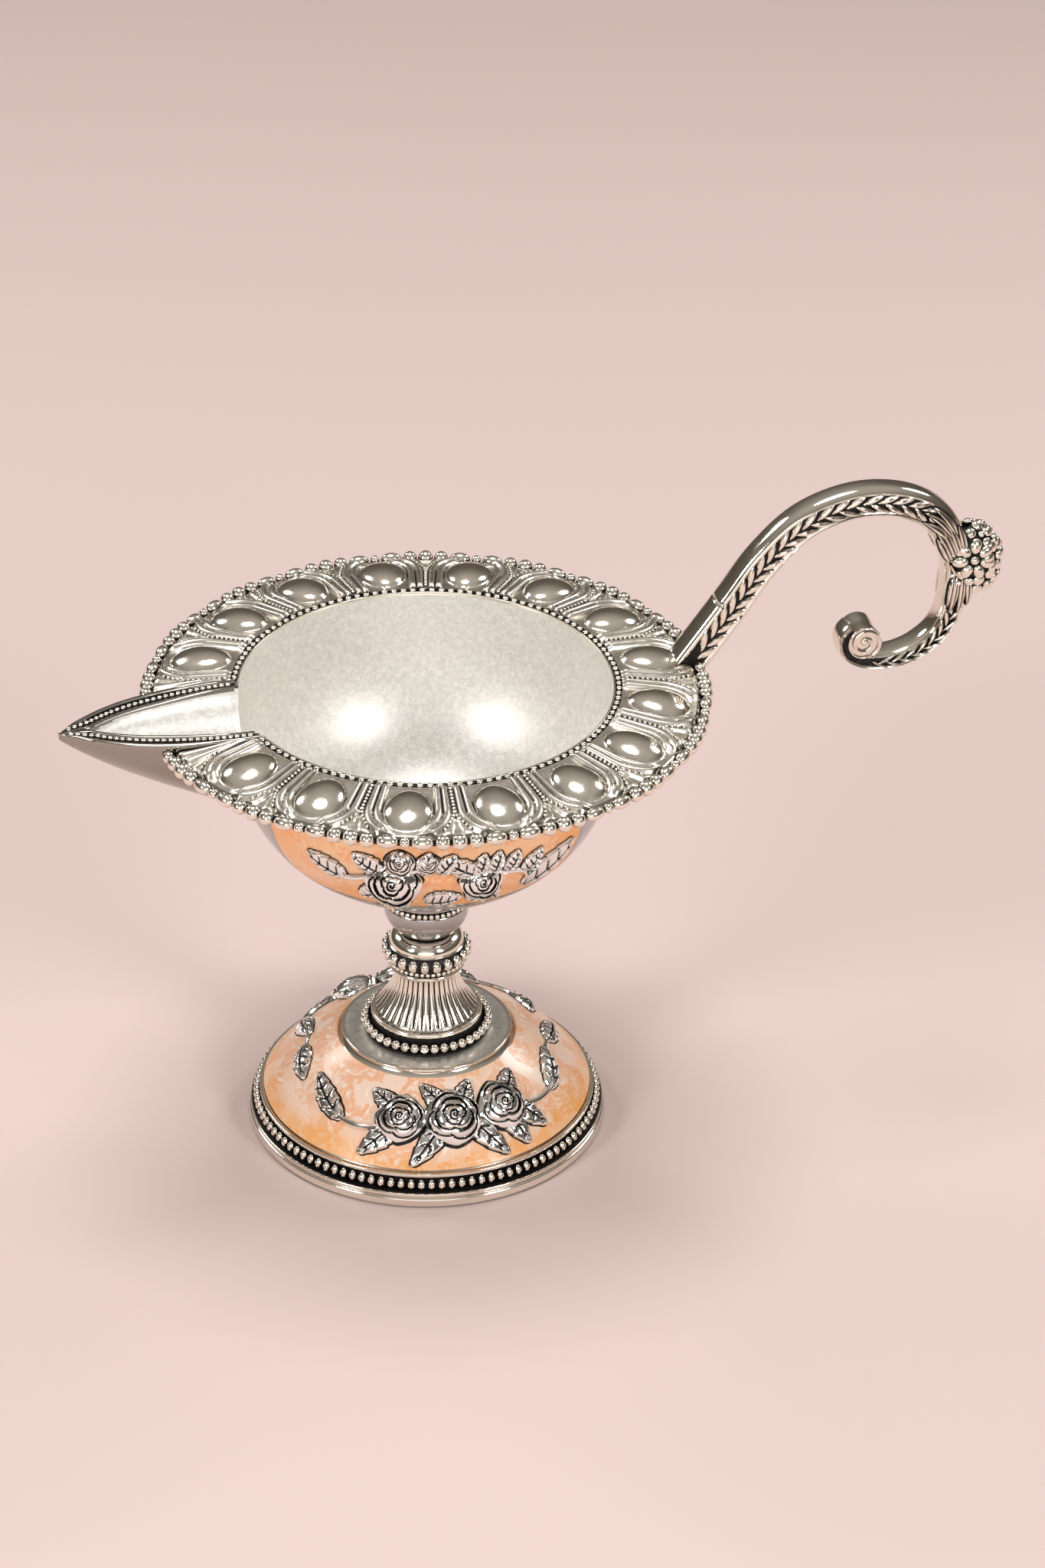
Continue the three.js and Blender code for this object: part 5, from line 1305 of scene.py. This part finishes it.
class DIYA_OT_handle(bpy.types.Operator):
    """Scroll handle with its stub, laurel leaves and volute"""

    bl_idname = "diya.handle"
    bl_label = "Handle"
    stations = 320
    around = 48

    def execute(self, context):
        self.line = handle_line(self.stations)
        self.seam = round(HANDLE_STUB * self.stations)
        bm = bmesh.new()
        self.bar(bm, 0, self.seam)
        new_piece("handle_root", bm, ["polished", "black"], ["handle_stub"], pick=self.ground)
        bm = bmesh.new()
        self.bar(bm, self.seam, self.stations)
        self.volute(bm)
        new_piece("handle_bar", bm, ["polished", "black"], ["handle_scroll"], pick=self.ground)
        length = context.scene.diya_ornament.laurel_leaf / MM
        for side, hand in ((-1, "right"), (1, "left")):
            bm = bmesh.new()
            self.laurel(bm, side, 0.05, 0.57, length, 1)
            new_piece("laurel_rise_" + hand, bm, ["aged"], ["laurel_upper_" + hand])
            bm = bmesh.new()
            self.laurel(bm, side, 0.66, 0.9, length * 0.85, -1)
            new_piece("laurel_tail_" + hand, bm, ["aged"], ["laurel_lower_" + hand])
        return {"FINISHED"}

    def frame_at(self, index):
        """Point, run and outward direction of the handle at a station."""
        last = len(self.line) - 1
        run = (self.line[min(last, index + 1)] - self.line[max(0, index - 1)]).normalized()
        return self.line[index], run, Vector((-run.z, 0.0, run.x))

    def section(self, index):
        """Points round the bar: round bands outside and inside, sunk flats on both sides."""
        spot, run, out = self.frame_at(index)
        half = handle_half(index / self.stations)
        points = []
        for step in range(self.around):
            turn = math.tau * step / self.around
            c, s = math.cos(turn), math.sin(turn)
            y = HANDLE_HALF_WIDTH * math.copysign(abs(c) ** 0.62, c)
            o = half * math.copysign(abs(s) ** 0.8, s)
            flat = ease((0.62 - abs(o) / half) / 0.12)
            y -= math.copysign(0.75 * flat, y)
            tight = 0.95 if index == self.seam else 1.0
            points.append(spot + (Vector((0.0, y, 0.0)) + out * o) * tight)
        return points

    def bar(self, bm, first, last):
        """Stretch of the bar between two stations, closed at its ends."""
        sections = [self.section(index) for index in range(first, last + 1)]
        rows = len(sections) - 1
        patch(bm, self.around, rows,
              lambda u, v: sections[round(v * rows)][round(u * self.around) % self.around])

    def ground(self, face):
        """Blackened flats of the bar's sides."""
        spot = face.calc_center_median()
        return int(abs(face.normal.y) > 0.9 and abs(spot.y) < HANDLE_HALF_WIDTH - 0.55)

    def volute(self, bm):
        """Rolled end of the scroll with a raised spiral on each face."""
        eye = Vector((HANDLE_ROOT + HANDLE_REACH * VOLUTE_EYE[0], 0.0, RIM_TOP + HANDLE_RISE * VOLUTE_EYE[1]))
        line = rounded((0.0, -VOLUTE_HALF_WIDTH + 0.5, 0), (VOLUTE_RADIUS - 0.5, -VOLUTE_HALF_WIDTH + 0.5, 0),
                       (VOLUTE_RADIUS - 0.4, -VOLUTE_HALF_WIDTH, 0.2), (VOLUTE_RADIUS, -VOLUTE_HALF_WIDTH, 0.35),
                       (VOLUTE_RADIUS - 0.25, 0.0, 1.0), (VOLUTE_RADIUS, VOLUTE_HALF_WIDTH, 0.35),
                       (VOLUTE_RADIUS - 0.4, VOLUTE_HALF_WIDTH, 0.2),
                       (VOLUTE_RADIUS - 0.5, VOLUTE_HALF_WIDTH - 0.5, 0), (0.0, VOLUTE_HALF_WIDTH - 0.5, 0))
        lay = Matrix.Translation(eye) @ Matrix.Rotation(math.radians(-90), 4, "X")

        def tip(vert):
            vert.co = lay @ vert.co

        turned(bm, line, 48, tip)
        for side in (-1, 1):
            points, radii = [], []
            for step in range(49):
                share = step / 48
                turn = math.radians(-60 + 640 * share)
                radius = (VOLUTE_RADIUS - 0.55) * (1 - share) + 0.35
                points.append(eye + Vector((radius * math.cos(turn), side * (VOLUTE_HALF_WIDTH - 0.45),
                                            radius * math.sin(turn))))
                radii.append(0.52 - 0.18 * share)
            tube(bm, points, radii, [Vector((0, 1, 0))] * len(points))
            bead(bm, eye + Vector((0, side * (VOLUTE_HALF_WIDTH - 0.45), 0)), Vector((0, 1, 0)),
                 Vector((1, 0, 0)), (0.75, 0.75, 0.6))

    def laurel(self, bm, side, start, end, length, tip):
        """Pairs of pointed leaves along one side, their tips along the bar or against it."""
        total = sum((b - a).length for a, b in zip(self.line, self.line[1:]))
        pitch = length * 0.62
        count = int((end - start) * total / pitch)
        for step in range(2 * count):
            share = start + (end - start) * (step + 0.5) / (2 * count)
            spot, run, out = self.frame_at(round(share * self.stations))
            half = handle_half(share)
            row = 1 if step % 2 else -1
            lean = run * tip + out * (row * 0.46)
            at = spot + out * (row * half * 0.3) + Vector((0, side * 2.85, 0))
            bead(bm, at, lean, Vector((0, side, 0)), (0.62, half * 0.175, length / 2), 0.3, 8, 10)


class DIYA_OT_flowers(bpy.types.Operator):
    """Cluster of flowers and long leaves on the handle's hook"""

    bl_idname = "diya.flowers"
    bl_label = "Handle Flowers"
    stations = 160
    side_blooms = ((94, -14, 4.5, 7), (36, -6, 3.9, 6), (66, 38, 3.6, 5), (132, 26, 3.0, 5), (58, -54, 3.3, 5),
                   (150, -30, 2.6, 5))
    middle_blooms = ((0, 42, 3.2, 5), (0, -44, 3.4, 5))
    leaves = ((-7, 0.6, -16, 2.0, 1.6), (-7, -0.4, -17, 0.0, 1.6), (-7, -1.2, -16, -1.8, 1.6),
              (-2, 1.9, -9.5, 2.7, 1.8), (-2, 1.2, -11, 1.9, 1.8), (-2, 0.5, -11.5, 0.9, 1.8),
              (-2, -0.5, -11, -0.8, 1.8), (-2, -1.5, -9.5, -2.5, 1.8), (2, 1.5, 9.5, 1.9, 1.7),
              (2, 0.6, 11, 1.0, 1.7), (2, -0.6, 11, -0.8, 1.7), (2, -1.8, 9, -2.4, 1.7))

    def execute(self, context):
        bm = bmesh.new()
        line = handle_line(self.stations)
        index = max(range(len(line)), key=lambda place: line[place].x) - 3
        run = (line[index + 1] - line[index - 1]).normalized()
        out = Vector((-run.z, 0.0, run.x))
        out = out if out.x > 0 else -out
        spot = line[index]
        half = handle_half(index / self.stations)
        step = (line[1] - line[0]).length
        middle = spot + out * 3.3
        wide, deep, tall = half + 2.3, 4.2, 7.2
        bead(bm, middle, run, out, (wide, deep, tall), 0.0, 24, 18, 1)
        for side in (-1, 1):
            face = Vector((0, side, 0))
            for turn, rise, radius, petals in self.side_blooms + (self.middle_blooms if side < 0 else ()):
                a, b = math.radians(turn), math.radians(rise)
                way = out * (math.cos(a) * math.cos(b)), face * (math.sin(a) * math.cos(b)), run * math.sin(b)
                at = middle + way[0] * wide + way[1] * deep + way[2] * tall
                axis = (way[0] / wide + way[1] / deep + way[2] / tall).normalized()
                self.flower(bm, at, axis, run, radius, petals)

            def lay(x, y, lift, side=side):
                place = min(len(line) - 2, max(1, index + x / step))
                low = int(place)
                here = line[low].lerp(line[low + 1], place - low)
                way = (line[low + 1] - line[low - 1]).normalized()
                return here + Vector((way.z, 0.0, -way.x)) * y + Vector((0, side * (3.0 + lift), 0))

            for x0, y0, x1, y1, width in self.leaves:
                leaf(bm, lay, Vector((x0, y0)), Vector((x1, y1)), width, 20, 16, 0)
        new_piece("handle_flower_cluster", bm, ["aged", "black"], ["handle_flowers"])
        return {"FINISHED"}

    def flower(self, bm, at, axis, side, radius, petals):
        """Open flower: a ring of plump petals round a bud, dark between them."""
        across = axis.cross(side).normalized()
        side = across.cross(axis)
        bead(bm, at, axis, side, (radius * 0.9, radius * 0.9, 0.5), 0.0, 16, 6, 1)
        half = 0.9 * math.pi * 0.66 * radius / petals
        for index in range(petals):
            turn = math.tau * (index + 0.25) / petals
            lean = side * math.cos(turn) + across * math.sin(turn)
            bead(bm, at + lean * (radius * 0.66) + axis * 0.3, lean - axis * 0.2, axis,
                 (0.8, half, radius * 0.38), 0.0, 12, 8)
        bead(bm, at + axis * 0.8, axis, side, (radius * 0.22, radius * 0.22, 0.9), 0.0, 10, 8)


class DIYA_OT_sprays(bpy.types.Operator):
    """Rose sprays on the dome of the foot and on the bowl's panels"""

    bl_idname = "diya.sprays"
    bl_label = "Rose Sprays"
    stem_steps = 60

    def execute(self, context):
        sizes = context.scene.diya_ornament
        for name, node, turn in (("front", "base_spray_front", 270.0), ("back", "base_spray_back", 90.0)):
            def on_dome(across, up, lift, turn=turn):
                radius, height = dome_point(up, lift)
                return polar(turn + 180.0 * across, radius, height)

            self.spray("dome_spray_" + name, node, BASE_SPRAY, on_dome,
                       math.pi * (PLATE_RADIUS + ENAMEL_EDGE) / 2, dome_length(), sizes)
        for name, node, side in (("front", "bowl_spray_front", 1), ("back", "bowl_spray_back", -1)):
            def on_bowl(across, up, lift, side=side):
                height = PANEL_BOTTOM + (PANEL_TOP - PANEL_BOTTOM) * up
                slope = (bowl_radius(height + 0.1) - bowl_radius(height - 0.1)) / 0.2
                size = math.hypot(1.0, slope)
                spot = polar(PANEL_CENTRE + PANEL_SPAN * across, bowl_radius(height) + lift / size,
                             height - lift * slope / size)
                return Vector((spot.x, spot.y * side, spot.z))

            self.spray("bowl_spray_roses_" + name, node, BOWL_SPRAY, on_bowl,
                       math.radians(PANEL_SPAN) * BOWL_RADIUS * 0.9, PANEL_TOP - PANEL_BOTTOM, sizes)
        return {"FINISHED"}

    def spray(self, name, node, layout, surface, wide, tall, sizes):
        """One spray laid on a curved panel."""
        bm = bmesh.new()

        def lay(x, y, lift):
            return surface(x / wide, y / tall, lift)

        line = smooth_line([(a * wide, b * tall, 0.0) for a, b in layout["stem"]], self.stem_steps)
        points = [lay(point.x, point.y, 0.35) for point in line]
        sides = [lay(point.x, point.y, 1.35) - lay(point.x, point.y, 0.35) for point in line]
        radii = [0.62 * (0.55 + 0.45 * ease(min(step, self.stem_steps - step) / 8))
                 for step in range(self.stem_steps + 1)]
        tube(bm, points, radii, sides)
        for across, up, far_across, far_up, scale in layout["leaves"]:
            leaf(bm, lay, Vector((across * wide, up * tall)), Vector((far_across * wide, far_up * tall)),
                 scale * sizes.leaf_width / MM)
        for across, up, scale in layout["roses"]:
            rose(bm, lay, across * wide, up * tall, scale * sizes.rose_radius / MM, layout["tilt"])
        # Leaves and stems in the lighter silver and petals lighter still, both painted light; black veins, painted
        # shadow round the leaves and roses, and painted shade under the petal lips.
        new_piece(name, bm, ["cast", "black", "petal"], [node])


class DIYA_OT_fixings(bpy.types.Operator):
    """Finishes of the felt pad and the hidden fixings"""

    bl_idname = "diya.fixings"
    bl_label = "Pad and Fixings"

    def execute(self, context):
        for node, kind in (("base_pad", "felt"), ("base_washer", "steel"), ("base_nut", "steel"),
                           ("tie_rod", "steel"), ("bowl_boss", "steel"), ("handle_dowel", "steel")):
            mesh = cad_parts[node].data
            mesh.materials.clear()
            mesh.materials.append(finish(kind))
        return {"FINISHED"}


class DIYA_OT_stage(bpy.types.Operator):
    """Floor, soft lights and the camera"""

    bl_idname = "diya.stage"
    bl_label = "Stage"
    view_turn = -15.3
    view_rise = 31.41
    view_roll = 0.5
    view_distance = 1.2
    view_aim = (0.02, 0.0, 0.08124)
    lens = 132.66
    sky = ((0.0, (0.2, 0.172, 0.14, 1.0)), (0.4, (0.32, 0.28, 0.23, 1.0)), (0.85, (0.95, 0.89, 0.8, 1.0)))
    sky_strength = 0.42
    fill_lights = (
        ("soft_back_left", (-0.376, 0.537, 0.52), 0.22, 0.5, 0.08),
        ("soft_back_right", (0.594, 0.277, 0.52), 0.22, 0.5, 0.08),
        ("soft_front_left", (-0.75, -0.37, 0.5), 0.24, 1.3, 0.06),
        ("soft_front_right", (0.43, -0.72, 0.52), 0.24, 1.3, 0.06),
        ("soft_front", (-0.26, -0.95, 0.3), 0.9, 1.0, 0.05),
    )

    def execute(self, context):
        stage = context.scene.diya_stage
        self.floor(stage)
        self.camera(context)
        self.surroundings(context)
        context.scene.view_settings.view_transform = "Standard"
        self.light("soft_overhead", (0.0, 0.12, 1.1), 0.45, stage.key, 0.09)
        for name, spot, size, share, height in self.fill_lights:
            self.light(name, spot, size, share * stage.fill, height)
        return {"FINISHED"}

    def floor(self, stage):
        """Wide pale floor."""
        bm = bmesh.new()
        bmesh.ops.create_grid(bm, x_segments=2, y_segments=2, size=6.0)
        mesh = bpy.data.meshes.new("floor")
        bm.to_mesh(mesh)
        bm.free()
        made = Finish("floor_paper", stage.floor, 0.7, 0.0)
        tone = made.noise(3.0, 2.0)
        dim = tuple(0.96 * part for part in stage.floor)
        made.set("Base Color", made.mix(tone, solid(dim), solid(stage.floor)))
        mesh.materials.append(made.material)
        floor = bpy.data.objects.new("floor", mesh)
        bpy.context.scene.collection.objects.link(floor)

    def camera(self, context):
        """Camera at the photograph's angle."""
        data = bpy.data.cameras.new("camera")
        data.lens = self.lens
        data.sensor_width = 36.0
        camera = bpy.data.objects.new("camera", data)
        rise = math.radians(self.view_rise)
        back = Vector((0.0, -math.cos(rise), math.sin(rise))) * self.view_distance
        camera.matrix_world = (
            Matrix.Rotation(math.radians(self.view_turn), 4, "Z")
            @ Matrix.Translation(Vector(self.view_aim) + back)
            @ Matrix.Rotation(math.pi / 2 - rise, 4, "X")
            @ Matrix.Rotation(math.radians(self.view_roll), 4, "Z"))
        context.scene.collection.objects.link(camera)
        context.scene.camera = camera

    def surroundings(self, context):
        """Soft room: pale overhead, dimmer towards the horizon."""
        world = bpy.data.worlds.new("studio")
        world.use_nodes = True
        tree = world.node_tree
        place = tree.nodes.new("ShaderNodeTexCoord")
        split = tree.nodes.new("ShaderNodeSeparateXYZ")
        ramp = tree.nodes.new("ShaderNodeValToRGB")
        tree.links.new(place.outputs["Generated"], split.inputs[0])
        tree.links.new(split.outputs["Z"], ramp.inputs[0])
        ramp.color_ramp.elements.new(self.sky[1][0])
        for element, (height, colour) in zip(ramp.color_ramp.elements, self.sky):
            element.position = height
            element.color = colour
        tree.links.new(ramp.outputs[0], tree.nodes["Background"].inputs["Color"])
        tree.nodes["Background"].inputs["Strength"].default_value = self.sky_strength
        context.scene.world = world

    def light(self, name, spot, size, power, height):
        """Round soft light aimed at a height on the lamp's axis."""
        data = bpy.data.lights.new(name, "AREA")
        data.shape = "DISK"
        data.size = size
        data.energy = power
        lamp = bpy.data.objects.new(name, data)
        lamp.location = spot
        lamp.rotation_euler = (Vector((0.0, 0.0, height)) - Vector(spot)).to_track_quat("-Z", "Y").to_euler()
        bpy.context.scene.collection.objects.link(lamp)


class DIYA_PT_lamp(bpy.types.Panel):
    """Settings and pieces of the oil lamp"""

    bl_label = "Oil Lamp"
    bl_idname = "DIYA_PT_lamp"
    bl_space_type = "VIEW_3D"
    bl_region_type = "UI"
    bl_category = "Oil Lamp"

    def draw(self, context):
        layout = self.layout
        for group in GROUPS:
            box = layout.box()
            settings = getattr(context.scene, group)
            for name in settings.bl_rna.properties.keys():
                if name not in ("rna_type", "name"):
                    box.prop(settings, name)
        for operator in OPERATORS:
            layout.operator(operator.bl_idname)


GROUPS = {
    "diya_finishes": DiyaFinishes,
    "diya_stand": DiyaStand,
    "diya_rim": DiyaRim,
    "diya_ornament": DiyaOrnament,
    "diya_stage": DiyaStage,
}
OPERATORS = (
    DIYA_OT_foot, DIYA_OT_dome_enamel, DIYA_OT_stem, DIYA_OT_bowl, DIYA_OT_spout, DIYA_OT_rim,
    DIYA_OT_handle, DIYA_OT_flowers, DIYA_OT_sprays, DIYA_OT_fixings, DIYA_OT_stage,
)


def register():
    """Registers the settings, the operators and the panel."""
    for name, group in GROUPS.items():
        bpy.utils.register_class(group)
        setattr(bpy.types.Scene, name, PointerProperty(type=group))
    for operator in OPERATORS:
        bpy.utils.register_class(operator)
    bpy.utils.register_class(DIYA_PT_lamp)


def unregister():
    """Takes the panel, the operators and the settings away."""
    bpy.utils.unregister_class(DIYA_PT_lamp)
    for operator in reversed(OPERATORS):
        bpy.utils.unregister_class(operator)
    for name, group in reversed(list(GROUPS.items())):
        delattr(bpy.types.Scene, name)
        bpy.utils.unregister_class(group)


def main():
    """Builds the lamp and its stage."""
    register()
    bpy.ops.diya.foot()
    bpy.ops.diya.dome_enamel()
    bpy.ops.diya.stem()
    bpy.ops.diya.bowl()
    bpy.ops.diya.spout()
    bpy.ops.diya.rim()
    bpy.ops.diya.handle()
    bpy.ops.diya.flowers()
    bpy.ops.diya.sprays()
    bpy.ops.diya.fixings()
    bpy.ops.diya.stage()


if __name__ == "__main__":
    main()
